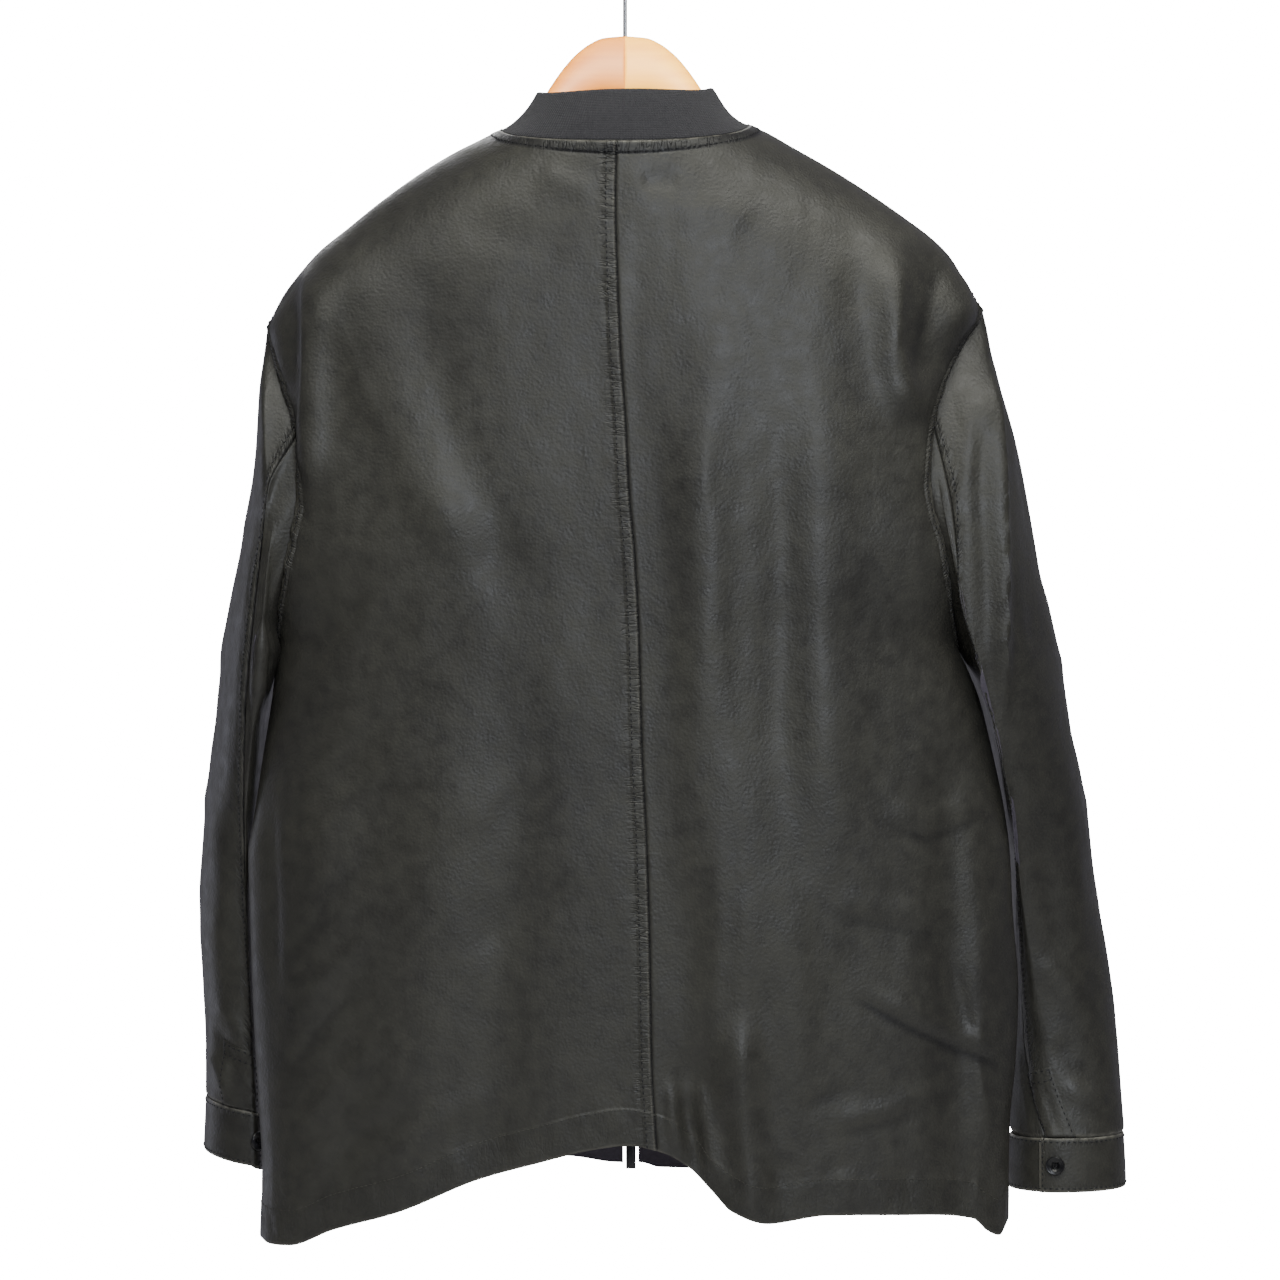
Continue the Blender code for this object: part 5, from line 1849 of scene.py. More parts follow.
@dataclass
class Sleeves:
    """Two-piece sleeves, each ending in a lapped and buttoned shirt cuff."""

    workshop: Workshop
    cut: BodyCut = field(default_factory=BodyCut)
    back_seam_step: int = 4
    front_seam_step: int = 6
    section_power: float = 0.9
    fine_columns: int = 8
    rows_each: int = 22
    leather: float = 1.3
    seam: Band = Band(8.6, 0.8, 0.5, 83)
    sewn: tuple[Edge, ...] = (Edge.TOP, Edge.FIRST, Edge.LAST, Edge.FOOT)
    hide: tuple[Wave, ...] = table(Wave, (0.5, 0, 26, 60, 0), (0.22, 0, 11, 24, 2))
    held: tuple[tuple[Edge, float], ...] = (
        (Edge.TOP, 16.0), (Edge.FOOT, 5.0), (Edge.FIRST, 10.0), (Edge.LAST, 10.0)
    )
    rubs: tuple[Rub, ...] = table(
        Rub,
        ("wear", Edge.FOOT, 0.6, 1.2, 0.5, ("broken",)),
        ("wear", Edge.FIRST, 2.0, 0.9, 0.3, ("banded", "broken")),
        ("seam", Edge.FIRST, 0.0, 0.8, 0.9),
        ("seam", Edge.TOP, 0.0, 0.8, 0.7),
        ("ruck_across", Edge.FOOT, 2.0, 5.0, 0.4),
    )
    cuff_deep: float = 38.5
    cuff_start: float = 0.016
    cuff_steps: int = 150
    cuff_rows: int = 22
    cuff_flare: float = 1.5
    cuff_tuck: float = 2.6
    cuff_tuck_part: float = 0.1
    cuff_stitch_in: float = 2.9
    placket_rows: int = 33
    placket_stitch_in: float = 1.8
    placket_box: float = 9.0
    cuff_cloth: float = 2.2
    cuff_lap: float = 24.0
    cuff_lap_lift: float = 2.9
    cuff_lap_fade: float = 70.0
    button_turn: float = 19.0
    placket_cells: dict[Side, int] = field(default_factory=lambda: {Side.LEFT: 2, Side.RIGHT: 1})

    def ring_points(self, side: Side, ring: Ring, angles: np.ndarray) -> np.ndarray:
        """Points of a sleeve's section. Angles run from the outer side, minus to the back.

        Args:
            side: Which side.
            ring: The section's sizes.
            angles: The angles in degrees.

        Returns:
            The points in millimetres.
        """
        turn = np.radians(angles)
        cosine, sine = np.cos(turn), np.sin(turn)
        rim = np.where(cosine > 0, ring.out, ring.inner)
        out = ring.ridge + (rim - ring.ridge) * np.abs(cosine) ** self.section_power
        depth = (ring.back + ring.front) / 2 + (ring.front - ring.back) / 2 * sine
        down = ring.over + (ring.under - ring.over) * (1 - cosine) / 2
        return np.stack([side.sign * out, depth, -down], axis=1)

    def front_angle(self, ring: Ring) -> float:
        """Where the front seam lies: it runs from the armhole to under the wrist."""
        start = 180.0 * self.front_seam_step / self.cut.armhole_rows
        return start + 22.0 * smooth_step((ring.over - 300.0) / 400.0)

    def tube(self, side: Side, steps: np.ndarray) -> np.ndarray:
        """The sleeve's points at signed coarse steps from the shoulder, minus to the back.

        Args:
            side: Which side.
            steps: The steps.

        Returns:
            Rows by steps by XYZ, in millimetres.
        """
        count = self.cut.armhole_rows
        rows = [
            [self.cut.armhole_point(side, Face.BACK if step < 0 else Face.FRONT, abs(step)) for step in steps]
        ]
        for ring in SLEEVE_RINGS[side]:
            back = np.interp(-steps, (0, self.back_seam_step, count), (0.0, ring.seam, 180.0))
            front = np.interp(steps, (0, self.front_seam_step, count), (0.0, self.front_angle(ring), 180.0))
            angles = np.where(steps < 0, -back, front)
            rows.append(self.ring_points(side, ring, angles))
        knots = np.array(rows)
        lengths = np.linalg.norm(np.diff(knots, axis=0), axis=-1).mean(axis=1)
        places = np.concatenate([[0.0], np.cumsum(lengths)])
        fine = fine_steps(len(knots) - 1, self.rows_each, (0.03, 0.08))
        return smooth_curve(places, knots)(np.interp(fine, np.arange(len(places)), places))

    def pieces(self, side: Side) -> dict[str, Cloth]:
        """The upper and the under sleeve, from the back seam to the front seam and on.

        Args:
            side: Which side.

        Returns:
            Both plain pieces, by name.
        """
        back, front, count = self.back_seam_step, self.front_seam_step, self.cut.armhole_rows
        upper = fine_steps(back + front, self.fine_columns) - back
        around = fine_steps(2 * count - back - front, self.fine_columns) + front
        under = np.where(around > count, around - 2 * count, around)
        sense = side.sign
        return {
            "upper": Cloth(self.tube(side, upper), sense),
            "under": Cloth(self.tube(side, under), sense),
        }

    def creased(self, cloth: Cloth, side: Side, piece: str) -> Cloth:
        """A sleeve piece with its creases, its topstitched band and its rolled edges.

        Args:
            cloth: The plain piece.
            side: Which side.
            piece: Upper or under.

        Returns:
            Its finished outer surface.
        """
        across, down = cloth.across, cloth.down
        facing_back = smooth_step(-cloth.normals[..., 1] * 2.0 + 0.4)
        lift = np.zeros_like(across)
        for crease in SLEEVE_CREASES[side]:
            lift += crease.height * crease.profile(across, down) * facing_back
        for crease in FRONT_SLEEVE_CREASES:
            lift += crease.height * crease.profile(np.abs(across), down) * (1 - facing_back)
        run, girth = cloth.from_edge(Edge.TOP), cloth.from_edge(Edge.FIRST)
        lift += uneven(self.hide, girth, run, 71 + side.sign)
        for edge, reach in self.held:
            lift *= smooth_step(cloth.from_edge(edge) / reach)
        banded = piece == "upper"
        lift += cloth.band(Edge.FIRST, self.seam, side) * banded
        lift += cloth.seam_dip(self.sewn, 0.9)
        made = cloth.raised(lift)
        broken = 0.5 + 0.5 * value_noise(run, girth, 4.0, 6.0, 87)
        made.marks = cloth.rubbed(self.rubs, {"broken": broken, "banded": banded})
        made.marks["ruck_down"] = cloth.beside(Edge.FIRST, self.seam.wide, 5.0) * banded
        return made

    def cuff(self, side: Side) -> Cloth:
        """The band round the wrist: its outer end laps over the inner one behind the arm.

        Args:
            side: Which side.

        Returns:
            Its outer surface.
        """
        last = SLEEVE_RINGS[side][-1]
        start = -(last.seam + 4.0)
        turned = fine_steps(self.cuff_steps, 1, (0.1, 0.3)) / self.cuff_steps * (360.0 + self.cuff_lap)
        rows = []
        for part in fine_steps(self.cuff_rows, 1, (0.15, 0.45)) / self.cuff_rows:
            share = self.cuff_start + (1 - self.cuff_start) * part
            drop, flare = self.cuff_deep * share, self.cuff_flare * share
            inner = last.inner - self.cuff_tuck * min(1.0, share / self.cuff_tuck_part)
            ring = last._replace(
                over=last.over + drop,
                under=last.under + drop,
                out=last.out + flare,
                back=last.back - flare,
                inner=inner,
            )
            rows.append(self.ring_points(side, ring, start + turned))
        plain = Cloth(np.array(rows), side.sign)
        lap = self.cuff_lap_lift * (1 - smooth_step(turned / self.cuff_lap_fade))
        cloth = plain.raised(np.broadcast_to(lap, plain.points.shape[:2]))
        lift = 0.25 * value_noise(cloth.from_edge(Edge.FIRST), cloth.from_edge(Edge.TOP), 17.0, 22.0, 91)
        edges = np.min([cloth.from_edge(edge) for edge in Edge], axis=0)
        lift = lift * smooth_step(edges / 6.0) - 0.8 * np.clip(1 - edges / 2.0, 0, 1) ** 2
        lift -= 0.25 * line_at(edges, self.cuff_stitch_in, 0.7)
        made = cloth.raised(lift)
        broken = 0.5 + 0.5 * value_noise(cloth.from_edge(Edge.FIRST), edges, 4.0, 4.0, 93)
        rub, gathered = line_at(edges, 0.4, 1.1), line_at(edges, 3.0, 3.0)
        made.marks = {"wear": 0.8 * rub * broken, "ruck_across": 0.5 * gathered}
        return made

    def placket(self, side: Side, upper: Cloth) -> Cloth:
        """The strip that finishes the slit above the cuff, on the upper sleeve's back edge.

        Args:
            side: Which side.
            upper: The upper sleeve's outer surface.

        Returns:
            The strip's outer surface.
        """
        columns = self.placket_cells[side] * self.fine_columns + 3
        lifted = upper.points + upper.normals
        strip = Cloth(lifted[-self.placket_rows :, :columns], upper.sense)
        edges = np.min([strip.from_edge(edge) for edge in Edge], axis=0)
        return strip.raised(-0.6 * np.clip(1 - edges / 1.6, 0, 1) ** 2)

    def build(self) -> None:
        """Makes both sleeves, their cuffs, plackets and buttons."""
        shop = self.workshop
        leather, flesh = shop.palette.leather, shop.palette.flesh
        for side in Side:
            finished: dict[str, Cloth] = {}
            for piece, plain in self.pieces(side).items():
                cloth = self.creased(plain, side, piece)
                finished[piece] = cloth
                node = f"sleeve_{piece}_{side.value}"
                made = Shell(f"{node}_leather", cloth, self.leather, self.sewn).build(leather, flesh)
                shop.hand_over(made, "leather", (node,))
                shop.declare(made, cloth, (f"back_{side.value}_leather",))
            upper = finished["upper"]
            lines = [upper.row_line(Edge.FIRST, self.seam.wide - 1.4, 0.01, 0.86)]
            lines += self.build_placket(side, upper)
            lines += self.build_cuff(side)
            shop.stitch(f"sleeve_{side.value}_stitching", lines, dark=True)

    def build_placket(self, side: Side, upper: Cloth) -> list[np.ndarray]:
        """Makes the placket strip.

        Args:
            side: Which side.
            upper: The upper sleeve's outer surface.

        Returns:
            Its stitch lines.
        """
        shop, inset = self.workshop, self.placket_stitch_in
        cloth = self.placket(side, upper)
        node = f"placket_{side.value}"
        made = Shell(f"{node}_leather", cloth, 0.8).build(shop.palette.leather, shop.palette.flesh)
        shop.hand_over(made, "leather", (node,))
        shop.declare(made, cloth, (f"sleeve_upper_{side.value}_leather",))
        return [
            cloth.row_line(Edge.TOP, inset, 0.08, 0.94),
            cloth.row_line(Edge.TOP, self.placket_box, 0.08, 0.94),
            cloth.row_line(Edge.LAST, inset, 0.05, 0.97),
            cloth.row_line(Edge.FIRST, inset, 0.05, 0.97),
        ]

    def build_cuff(self, side: Side) -> list[np.ndarray]:
        """Makes the cuff and its button.

        Args:
            side: Which side.

        Returns:
            The cuff's stitch lines.
        """
        shop, inset = self.workshop, self.cuff_stitch_in
        cloth = self.cuff(side)
        node = f"cuff_{side.value}"
        leather = shop.palette.leather
        made = Shell(f"{node}_leather", cloth, self.cuff_cloth).build(leather, leather)
        shop.hand_over(made, "leather", (node,))
        shop.declare(made, cloth, (f"sleeve_upper_{side.value}_leather",))
        part = self.button_turn / (360.0 + self.cuff_lap)
        column = int(round(part * (cloth.points.shape[1] - 1)))
        row = cloth.points.shape[0] // 2
        seat, below = cloth.points[row, column], cloth.points[-1, column]
        Button(shop, side, seat, cloth.normals[row, column], below).build()
        return [
            cloth.row_line(Edge.TOP, inset, 0.01, 0.99),
            cloth.row_line(Edge.FOOT, inset, 0.01, 0.99),
            cloth.row_line(Edge.FIRST, inset, 0.08, 0.92),
        ]


@dataclass
class Button:
    """A flat four-hole resin button with a rolled rim, sewn on with a cross of thread."""

    workshop: Workshop
    side: Side
    seat: np.ndarray
    normal: np.ndarray
    below: np.ndarray
    hole_radius: float = 0.9
    hole_reach: float = 1.55
    holes: tuple[int, ...] = (45, 135, 225, 315)
    sides: int = 40
    profile: tuple[tuple[float, float], ...] = (
        (5.0, 0.3), (6.3, 0.7), (6.7, 1.5), (6.5, 2.2), (6.0, 2.6), (5.3, 2.5), (4.6, 2.0)
    )
    thread_low: float = 1.2
    thread_high: float = 2.1
    thread_apart: float = 0.3
    stitch: Stitch = Stitch(0.6, 1.2, 0.32)

    def circle(self, radius: float, height: float, sides: int, x: float = 0.0, y: float = 0.0) -> np.ndarray:
        """Points round a level circle."""
        turn = np.linspace(0, 2 * math.pi, sides, endpoint=False)
        level = np.full(sides, height)
        return np.stack([x + radius * np.cos(turn), y + radius * np.sin(turn), level], axis=1)

    def build(self) -> None:
        """Makes the button and its thread."""
        shop = self.workshop
        node = f"cuff_button_{self.side.value}"
        rings = [self.circle(reach, height, self.sides) for reach, height in self.profile]
        disc = lofted(f"{node}_resin", np.array(rings))
        cutters = []
        for hole in self.holes:
            x = self.hole_reach * math.cos(math.radians(hole))
            y = self.hole_reach * math.sin(math.radians(hole))
            ends = [self.circle(self.hole_radius, height, 14, x, y) for height in (-1.0, 4.0)]
            cutters.append(lofted("button_hole", np.array(ends)))
            modifier = disc.modifiers.new("hole", "BOOLEAN")
            modifier.operation = "DIFFERENCE"
            modifier.object = cutters[-1]
        disc.data.materials.append(shop.palette.resin)
        disc = applied(disc)
        for cutter in cutters:
            bpy.data.objects.remove(cutter, do_unlink=True)
        self.place(disc)
        shop.hand_over(disc, "button", (node,))
        bars = []
        reach, low, high = self.hole_reach * math.sqrt(0.5), self.thread_low, self.thread_high
        for x, y in ((-reach, -reach), (reach, -reach)):
            for shift in (-self.thread_apart, self.thread_apart):
                at = x + shift
                bars.append(np.array([[at, y, low], [at, y, high], [at, -y, high], [at, -y, low]]))
        thread = shop.stitcher.along(f"{node}_thread", bars, shop.palette.thread_dark, *self.stitch)
        self.place(thread)
        shop.hand_over(thread, "button")

    def place(self, made: Object) -> None:
        """Moves a mesh made about the origin onto the cuff, its face out.

        Args:
            made: The mesh's object.
        """
        out = unit(self.normal)
        ahead = unit(self.below - self.seat)
        aside = unit(np.cross(ahead, out))
        ahead = np.cross(out, aside)
        turn = np.stack([aside, ahead, out], axis=1)
        points = np.empty(len(made.data.vertices) * 3, np.float32)
        made.data.vertices.foreach_get("co", points)
        placed = points.reshape(-1, 3) @ turn.T + self.seat * MM
        made.data.vertices.foreach_set("co", placed.astype(np.float32).reshape(-1))
        made.data.update()


# ---- Collar ----


@dataclass
class Collar:
    """The band collar in fine rib knit: upright ribs, doubled over at the top."""

    workshop: Workshop
    cut: BodyCut = field(default_factory=BodyCut)
    fine_seam: int = 26
    rows: int = 22
    lean_side: float = 0.713
    lean_depth: float = 0.83
    rise_back: float = 37.4
    rise_side: float = 28.5
    rise_front: float = 30.0
    knit: float = 3.0
    rib_pitch: float = 2.1
    rib_high: float = 0.15
    top_ease: float = 13.0
    foot_ease: float = 5.0
    belly_back: float = 1.6
    belly_side: float = -2.4
    slack: Wave = Wave(0.7, 0, 34.0, 26.0, 5)
    top_roll: float = 1.1
    foot_roll: float = 0.9
    roll_wide: float = 1.8

    def seam(self) -> np.ndarray:
        """The neck seam's points, from the left front edge round the back to the right one."""
        runs = []
        for side, face in (
            (Side.LEFT, Face.FRONT),
            (Side.LEFT, Face.BACK),
            (Side.RIGHT, Face.BACK),
            (Side.RIGHT, Face.FRONT),
        ):
            columns = np.linspace(0, self.cut.columns[face], self.cut.columns[face] * self.fine_seam + 1)
            share = np.sin(columns / self.cut.columns[face] * math.pi / 2)
            run = self.cut.row_points(side, face, 0.0, share)
            outward = (face is Face.FRONT) == (side is Side.LEFT)
            runs.append(run if outward else run[::-1])
        return np.concatenate([run[1:] if index else run for index, run in enumerate(runs)])

    def even_seam(self) -> np.ndarray:
        """The neck seam with its points an even distance apart, four to a rib."""
        seam = self.seam()
        gone = np.concatenate([[0.0], np.cumsum(np.linalg.norm(np.diff(seam, axis=0), axis=1))])
        count = int(gone[-1] / self.rib_pitch) * 4
        places = np.linspace(0, gone[-1], count + 1)
        return np.stack([np.interp(places, gone, seam[:, axis]) for axis in range(3)], axis=1)

    def eased_along(self, line: np.ndarray) -> np.ndarray:
        """The collar's top edge with its corners over the shoulders rounded off.

        Args:
            line: The edge's points.

        Returns:
            As many points, eased.
        """
        reach = int(3 * self.top_ease / self.rib_pitch * 4)
        offsets = np.arange(-reach, reach + 1) * self.rib_pitch / 4
        weights = np.exp(-((offsets / self.top_ease) ** 2))
        before = 2 * line[0] - line[reach:0:-1]
        after = 2 * line[-1] - line[-2 : -reach - 2 : -1]
        padded = np.concatenate([before, line, after])
        columns = [np.convolve(padded[:, axis], weights / weights.sum(), "valid") for axis in range(3)]
        return np.stack(columns, axis=1)

    def build(self) -> None:
        """Makes the collar."""
        seam = self.even_seam()
        side_share = np.clip(np.abs(seam[:, 0]) / self.cut.neck_out, 0, 1) ** 2
        end_rise = np.where(seam[:, 1] < 0, self.rise_back, self.rise_front)
        rise = end_rise + (self.rise_side - end_rise) * side_share
        top = self.eased_along(seam * (self.lean_side, self.lean_depth, 1) + np.outer(rise, (0, 0, 1)))
        part = 1 - fine_steps(self.rows, 1, (0.08, 0.22, 0.5)) / self.rows
        part = part[:, None, None]
        low = self.eased_along(seam)
        plain = Cloth(low + (top - low) * part + (seam - low) * (1 - part) ** self.foot_ease, 1)
        run, height = plain.from_edge(Edge.FIRST)[-1][None, :], part[..., 0]
        belly = (self.belly_back + (self.belly_side - self.belly_back) * side_share) * np.sin(np.pi * height)
        ribs = self.rib_high * np.cos(2 * np.pi * run / self.rib_pitch)
        drop = plain.from_edge(Edge.TOP)
        soft = uneven((self.slack,), np.broadcast_to(run, drop.shape), drop, 0)
        fade = smooth_step(drop / 1.5)
        lift = belly + soft * np.sin(np.pi * height)
        for edge, roll in ((Edge.TOP, self.top_roll), (Edge.FOOT, self.foot_roll)):
            lift -= roll * np.clip(1 - plain.from_edge(edge) / self.roll_wide, 0, 1) ** 2
        smooth = plain.raised(lift)
        cloth = smooth.raised(ribs * (0.35 + 0.65 * fade))
        palette = self.workshop.palette
        shell = Shell("collar_rib_knit", cloth, self.knit, (Edge.FOOT,), backing=smooth)
        made = shell.build(palette.rib, palette.rib)
        self.workshop.hand_over(made, "rib_knit", ("collar_rib",))
        self.workshop.declare(made, cloth, ("back_left_leather", "back_right_leather"))


# ---- Zip ----


@dataclass
class Zip:
    """The closed front zip: tapes, two meshed rows of teeth, the end box, the slider and tab."""

    workshop: Workshop
    cut: BodyCut = field(default_factory=BodyCut)
    leather: float = 1.5
    gap: float = 0.3
    tape: float = 0.8
    tape_inner: float = 3.3
    tape_outer: float = 17.0
    chain_top: float = 233.6
    chain_end: float = 866.5
    box_lap: float = 4.5
    tape_first_row: float = 0.1
    tape_last_row: float = 31.55
    tape_rows: int = 121
    tape_columns: int = 9
    tooth_pitch: float = 2.7
    tooth_deep: float = 2.3
    tooth_reach: float = 1.2
    tooth_bevel: float = 0.12
    metal_bevel: float = 0.25
    tooth_outline: tuple[tuple[float, float], ...] = (
        (-1.7, -0.55), (-0.2, -0.55), (0.3, -0.35), (1.2, -0.6), (1.7, -0.35)
    )

    @property
    def middle(self) -> float:
        """The Y of the chain's middle."""
        return self.cut.front_depth - self.leather - self.gap - self.tape / 2

    def tape_cloth(self, side: Side) -> Cloth:
        """One tape's outer surface, read from the front panel that it is sewn behind.

        Args:
            side: Which side.

        Returns:
            The surface.
        """
        rows = np.linspace(self.tape_first_row, self.tape_last_row, self.tape_rows)
        columns = np.linspace(0, self.cut.columns[Face.FRONT], 61)
        front = self.cut.panel(side, Face.FRONT, rows, columns).points
        across = side.sign * np.linspace(self.tape_inner, self.tape_outer, self.tape_columns)
        grid = []
        for points in front:
            x = self.cut.zip_line(-points[0, 2]) + across
            ordered = points[np.argsort(points[:, 0])]
            grid.append(np.stack([x] + [np.interp(x, ordered[:, 0], ordered[:, i]) for i in (1, 2)], axis=1))
        cloth = Cloth(np.array(grid), 1 if side is Side.LEFT else -1)
        if cloth.normals[self.tape_rows // 2, self.tape_columns // 2, 1] < 0:
            cloth.sense = -cloth.sense
        return cloth.raised(np.full(cloth.points.shape[:2], -self.leather - self.gap))

    def tooth(self) -> Object:
        """One tooth, made about the origin with the zip's run along Z and its hook towards +X."""
        half = np.array(self.tooth_outline)
        outline = np.concatenate([half, half[::-1] * (1, -1)])
        flat = np.insert(outline, 1, 0.0, axis=1)
        deep = np.array([0.0, self.tooth_deep / 2, 0.0])
        made = lofted("zip_tooth", np.array([flat - deep, flat + deep]))
        bevel = made.modifiers.new("edge", "BEVEL")
        bevel.width = self.tooth_bevel * MM
        bevel.segments = 1
        return applied(made)

    def build_chain(self) -> None:
        """Makes the two meshed rows of teeth."""
        tooth = self.tooth()
        palette = self.workshop.palette
        repeat = PathRepeat("zip_teeth", tooth)
        rows = []
        for side in Side:
            shift = 0.0 if side is Side.LEFT else self.tooth_pitch / 2
            downs = np.array([self.chain_top + shift, self.chain_end - self.tooth_pitch / 2 + shift])
            offset = side.sign * self.tooth_reach
            rows.append(np.array([[self.cut.zip_line(d) + offset, self.middle, -d] for d in downs]))
        made = repeat.along("zip_chain_teeth", rows, palette.zip_metal, self.tooth_pitch)
        bpy.data.objects.remove(tooth, do_unlink=True)
        self.workshop.hand_over(made, "zip_metal", ("zip_chain",))

    def build(self) -> None:
        """Makes the tapes and the teeth, and finishes the slider, the tab and the box."""
        palette = self.workshop.palette
        for side in Side:
            cloth = self.tape_cloth(side)
            node = f"zip_tape_{side.value}"
            made = Shell(f"{node}_woven", cloth, self.tape).build(palette.tape, palette.tape)
            self.workshop.hand_over(made, "zip_tape", (node,))
            self.workshop.declare(made, cloth, (f"front_{side.value}_leather",))
        self.build_chain()
        for node, body in (("zip_slider", JACKET), ("zip_pull_tab", PULL_TAB), ("zip_box", JACKET)):
            self.polished(node, body)

    def polished(self, node: str, body: str) -> None:
        """A copy of a metal solid with its edges rounded, in its place.

        Args:
            node: The solid's node.
            body: The body that it rides on.
        """
        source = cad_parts[node]
        shape = bmesh.new()
        shape.from_mesh(source.data)
        shape.transform(source.matrix_world)
        bmesh.ops.remove_doubles(shape, verts=shape.verts, dist=1e-6)
        bmesh.ops.dissolve_limit(shape, angle_limit=math.radians(1), verts=shape.verts, edges=shape.edges)
        if node == "zip_box":
            top = max(vert.co.z for vert in shape.verts)
            for vert in shape.verts:
                vert.co.z += self.box_lap * MM * (vert.co.z > top - 0.001)
        mesh = bpy.data.meshes.new(f"{node}_metal")
        shape.to_mesh(mesh)
        shape.free()
        mesh.materials.clear()
        mesh.materials.append(self.workshop.palette.zip_metal)
        made = new_object(f"{node}_metal", mesh)
        bevel = made.modifiers.new("edge", "BEVEL")
        bevel.width = self.metal_bevel * MM
        bevel.segments = 3
        bevel.limit_method = "ANGLE"
        made = applied(made)
        made.data.shade_smooth()
        made.data.set_sharp_from_angle(angle=math.radians(40))
        self.workshop.hand_over(made, "zip_metal", (node,), body)


# ---- Hanger ----


@dataclass
class Hanger:
    """The wooden hanger in two halves, and its hook of bent wire."""

    workshop: Workshop
    cut: BodyCut = field(default_factory=BodyCut)
    tip: float = 222.0
    join_groove: float = 0.5
    sides: int = 40
    stations: int = 110
    softness: float = 0.9
    wire_radius: float = 1.5
    hook_radius: float = 20.5
    stem_foot: float = 103.0
    bend_down: float = 48.0
    tail: float = 9.0

    def top_down(self, side: Side, out: float) -> float:
        """How far down the wood's top lies.

        Args:
            side: Which side.
            out: The distance out from the middle.

        Returns:
            The distance below the origin.
        """
        neck = self.cut.neck_out
        seam = max(out, neck)
        under = float(eased(RIDGE, "out", side.value)(seam) + eased(WOOD_SECTION, "out", "under")(seam))
        if out >= neck:
            return under
        return float(eased((*WOOD_NECK, WoodTop(neck, under)), "out", "down")(out))

    def build_half(self, side: Side) -> None:
        """Makes one half of the wood.

        Args:
            side: Which side.
        """
        sections = []
        outs = np.concatenate([[0.0, 0.7], np.linspace(2.0, self.tip, self.stations)])
        turn = np.linspace(0, 2 * math.pi, self.sides, endpoint=False)
        across = np.sign(np.cos(turn)) * np.abs(np.cos(turn)) ** self.softness
        upward = np.sign(np.sin(turn)) * np.abs(np.sin(turn)) ** self.softness
        for out in outs:
            tall = float(eased(WOOD_SECTION, "out", "tall")(out))
            wide = float(eased(WOOD_SECTION, "out", "wide")(out)) - 2 * self.join_groove * (out == 0.0)
            behind = float(eased(WOOD_SECTION, "out", "back")(out))
            depth = self.cut.shoulder_sweep * (out / self.cut.shoulder_out) ** 2 - behind
            z = -self.top_down(side, out) - tall / 2 * (1 - upward)
            x = np.full(self.sides, side.sign * out)
            sections.append(np.stack([x, depth + across * wide / 2, z], axis=1))
        made = lofted(f"hanger_{side.value}_wood", np.array(sections))
        palette = self.workshop.palette
        made.data.materials.append(palette.wood_left if side is Side.LEFT else palette.wood_right)
        self.workshop.hand_over(made, "wood", (f"hanger_{side.value}",))

    def hook_path(self) -> np.ndarray:
        """The wire's middle line, from its foot in the wood to its tip."""
        centre = self.wire_radius - self.hook_radius
        path = [(0.0, z) for z in np.linspace(-self.stem_foot, -self.bend_down, 12)]
        for part in np.linspace(0, 1, 25)[1:]:
            height = -self.bend_down + (centre + self.bend_down) * part
            path.append((self.hook_radius * float(smooth_step(part)), height))
        for angle in np.linspace(0, math.pi, 61)[1:]:
            path.append((self.hook_radius * math.cos(angle), centre + self.hook_radius * math.sin(angle)))
        path.append((-self.hook_radius, centre - self.tail))
        return np.array([(x, 0.0, z) for x, z in path])

    def build_hook(self) -> None:
        """Makes the wire as a tube with a rounded tip."""
        path = self.hook_path()
        tangents = unit(np.gradient(path, axis=0))
        aside = np.array([0.0, 1.0, 0.0])
        turn = np.linspace(0, 2 * math.pi, 24, endpoint=False)
        stops = [(point, tangent, 1.0) for point, tangent in zip(path, tangents)]
        for part in (0.3, 0.6, 0.85, 0.97):
            angle = part * math.pi / 2
            tip = path[-1] + tangents[-1] * self.wire_radius * math.sin(angle) * 0.9
            stops.append((tip, tangents[-1], math.cos(angle)))
        sections = []
        for point, tangent, share in stops:
            ring = np.outer(np.cos(turn), aside) + np.outer(np.sin(turn), np.cross(tangent, aside))
            sections.append(point + ring * self.wire_radius * share)
        made = lofted("hanger_hook_wire", np.array(sections))
        made.data.materials.append(self.workshop.palette.steel)
        self.workshop.hand_over(made, "steel_wire", ("hanger_hook",))

    def build(self) -> None:
        """Makes the whole hanger."""
        for side in Side:
            self.build_half(side)
        self.build_hook()


# ---- The studio ----


class SoftBox(NamedTuple):
    """A rectangular light that looks at the middle of the jacket, in metres and watts."""

    name: str
    place: tuple[float, float, float]
    wide: float
    tall: float
    power: float
    tint: str


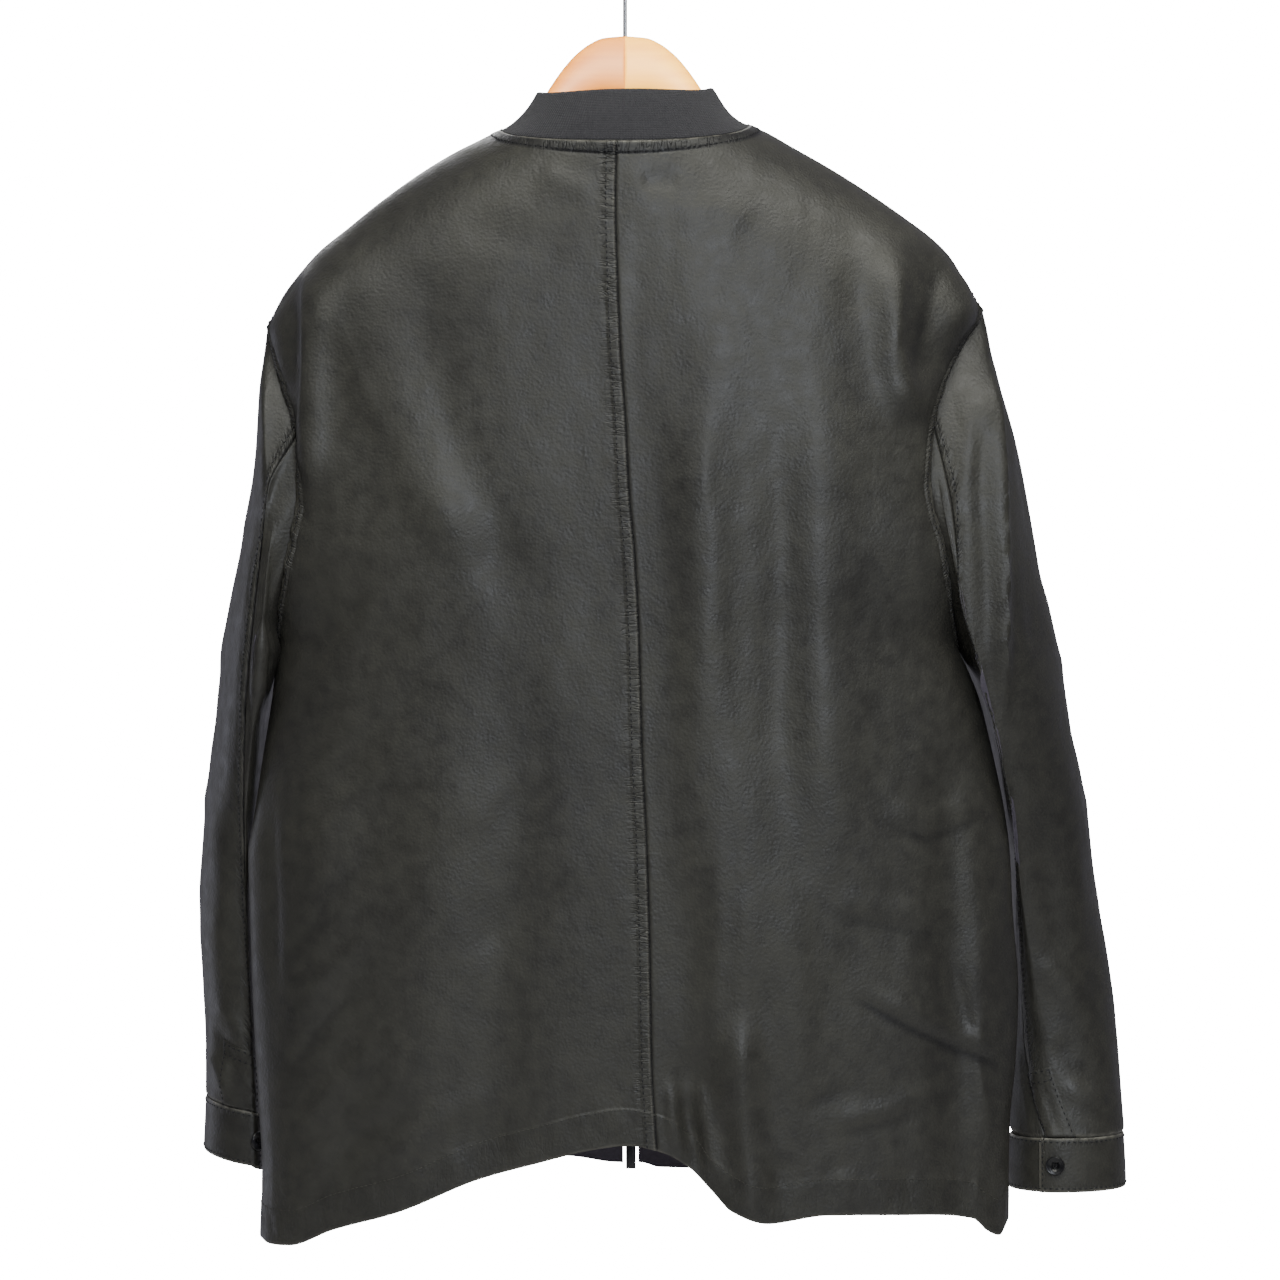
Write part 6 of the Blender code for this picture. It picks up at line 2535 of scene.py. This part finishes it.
@dataclass
class Studio:
    """A white studio: a pale floor, a lit backdrop, soft boxes, a small spot, and the camera."""

    camera_place: tuple[float, float, float] = (0.0105, -2.6, -0.501)
    frame_wide: float = 0.896
    sensor: float = 36.0
    floor_down: float = 1.32
    floor_radius: float = 1.75
    white: float = 18.0
    sky: str = "#E4E2F2"
    around: float = 0.12
    backdrop: float = 0.36
    backdrop_from: float = 0.1
    backdrop_full: float = 0.6
    middle: tuple[float, float, float] = (0.0, 0.0, -0.5)
    soft_boxes: tuple[SoftBox, ...] = table(
        SoftBox,
        ("soft_box_top", (0.2, -0.95, 1.15), 2.3, 0.9, 37.0, "#FFFFF6"),
        ("soft_box_left", (-1.5, -1.9, 1.1), 1.5, 1.2, 5.0, "#FBFFF4"),
        ("strip_right", (0.52, -2.7, 0.2), 0.40, 1.7, 30.0, "#F0F6FF"),
        ("rim_left", (-1.5, 0.9, -0.7), 0.5, 1.4, 2.6, "#EEF0FF"),
        ("soft_box_front", (-0.4, 2.4, 1.1), 1.6, 1.2, 30.0, "#FFFFFF"),
    )
    spot_power: float = 900.0
    spot_angle: float = 7.0
    spot_blend: float = 0.5
    spot_size: float = 0.06
    spot_place: tuple[float, float, float] = (0.0, -2.4, 0.25)
    spot_aim: tuple[float, float, float] = (0.0, 0.0, -0.095)

    def build_world(self) -> None:
        """A lit backdrop before the jacket's front, dim elsewhere, and the camera's white."""
        world = bpy.data.worlds.new("studio")
        bpy.context.scene.world = world
        world.use_nodes = True
        tree = world.node_tree
        tree.nodes.clear()
        sees = add_node(tree, "ShaderNodeLightPath", {}).outputs["Is Camera Ray"]
        way = add_node(tree, PLACE, {}).outputs["Generated"]
        ahead = add_node(tree, "ShaderNodeSeparateXYZ", {"Vector": way}).outputs["Y"]
        level = {"Value": ahead, "From Min": self.backdrop_from, "From Max": self.backdrop_full}
        level |= {"To Min": self.around, "To Max": self.backdrop}
        glow = {"Color": linear(self.sky), "Strength": add_node(tree, RANGE, level)}
        light = add_node(tree, "ShaderNodeBackground", glow)
        white = add_node(tree, "ShaderNodeBackground", {"Color": linear("#FFFFFF"), "Strength": self.white})
        mix = add_node(tree, "ShaderNodeMixShader", {0: sees, 1: light, 2: white})
        add_node(tree, "ShaderNodeOutputWorld", {"Surface": mix})

    def build_floor(self) -> None:
        """A plain pale disc well below the hem."""
        shape = bmesh.new()
        bmesh.ops.create_circle(shape, cap_ends=True, segments=96, radius=self.floor_radius)
        bmesh.ops.translate(shape, verts=shape.verts, vec=Vector((0.0, 0.0, -self.floor_down)))
        mesh = bpy.data.meshes.new("floor")
        shape.to_mesh(mesh)
        shape.free()
        material, tree, shader = new_surface("studio_floor_matt_paint")
        fill(tree, shader, {"Base Color": linear("#D8D7D5"), "Roughness": 0.9})
        mesh.materials.append(material)
        new_object("floor", mesh)

    def hang(self, light: bpy.types.Light, place: Sequence[float], aim: Sequence[float]) -> Object:
        """Hangs a light.

        Args:
            light: The light.
            place: Where it hangs.
            aim: The point that it looks at.

        Returns:
            Its object.
        """
        made = new_object(light.name, light)
        made.location = place
        made.rotation_euler = (Vector(aim) - Vector(place)).to_track_quat("-Z", "Y").to_euler()
        return made

    def build_soft_box(self, box: SoftBox) -> None:
        """Makes one soft box, unseen by the camera.

        Args:
            box: Its place, size, power and tint.
        """
        light = bpy.data.lights.new(box.name, "AREA")
        light.shape = "RECTANGLE"
        light.size, light.size_y = box.wide, box.tall
        light.energy = box.power
        light.color = linear(box.tint)[:3]
        self.hang(light, box.place, self.middle).visible_camera = False

    def build_spot(self) -> None:
        """A small spot on the hanger's neck, from over the camera, kept off the cloth."""
        light = bpy.data.lights.new("neck_spot", "SPOT")
        light.energy = self.spot_power
        light.spot_size = math.radians(self.spot_angle)
        light.spot_blend = self.spot_blend
        light.shadow_soft_size = self.spot_size
        lit = bpy.data.collections.new("neck_spot_lights")
        for side in Side:
            lit.objects.link(bpy.data.objects[f"hanger_{side.value}_wood"])
        self.hang(light, self.spot_place, self.spot_aim).light_linking.receiver_collection = lit

    def build_camera(self) -> None:
        """The camera behind the jacket, level, at the photo's distance."""
        camera = bpy.data.cameras.new("camera")
        camera.sensor_fit = "HORIZONTAL"
        camera.sensor_width = self.sensor
        camera.lens = self.sensor * abs(self.camera_place[1]) / self.frame_wide
        made = new_object("camera", camera)
        made.location = self.camera_place
        made.rotation_euler = (math.radians(90), 0.0, 0.0)
        bpy.context.scene.camera = made

    def build(self) -> None:
        """Makes the studio."""
        self.build_world()
        self.build_floor()
        for box in self.soft_boxes:
            self.build_soft_box(box)
        self.build_spot()
        self.build_camera()


def main() -> None:
    """Builds every sub-assembly in order, then the studio."""
    logging.basicConfig(level=logging.INFO, format="%(name)s %(message)s")
    workshop = Workshop()
    Body(workshop).build()
    Sleeves(workshop).build()
    Collar(workshop).build()
    Zip(workshop).build()
    Hanger(workshop).build()
    Studio().build()


if __name__ == "__main__":
    main()
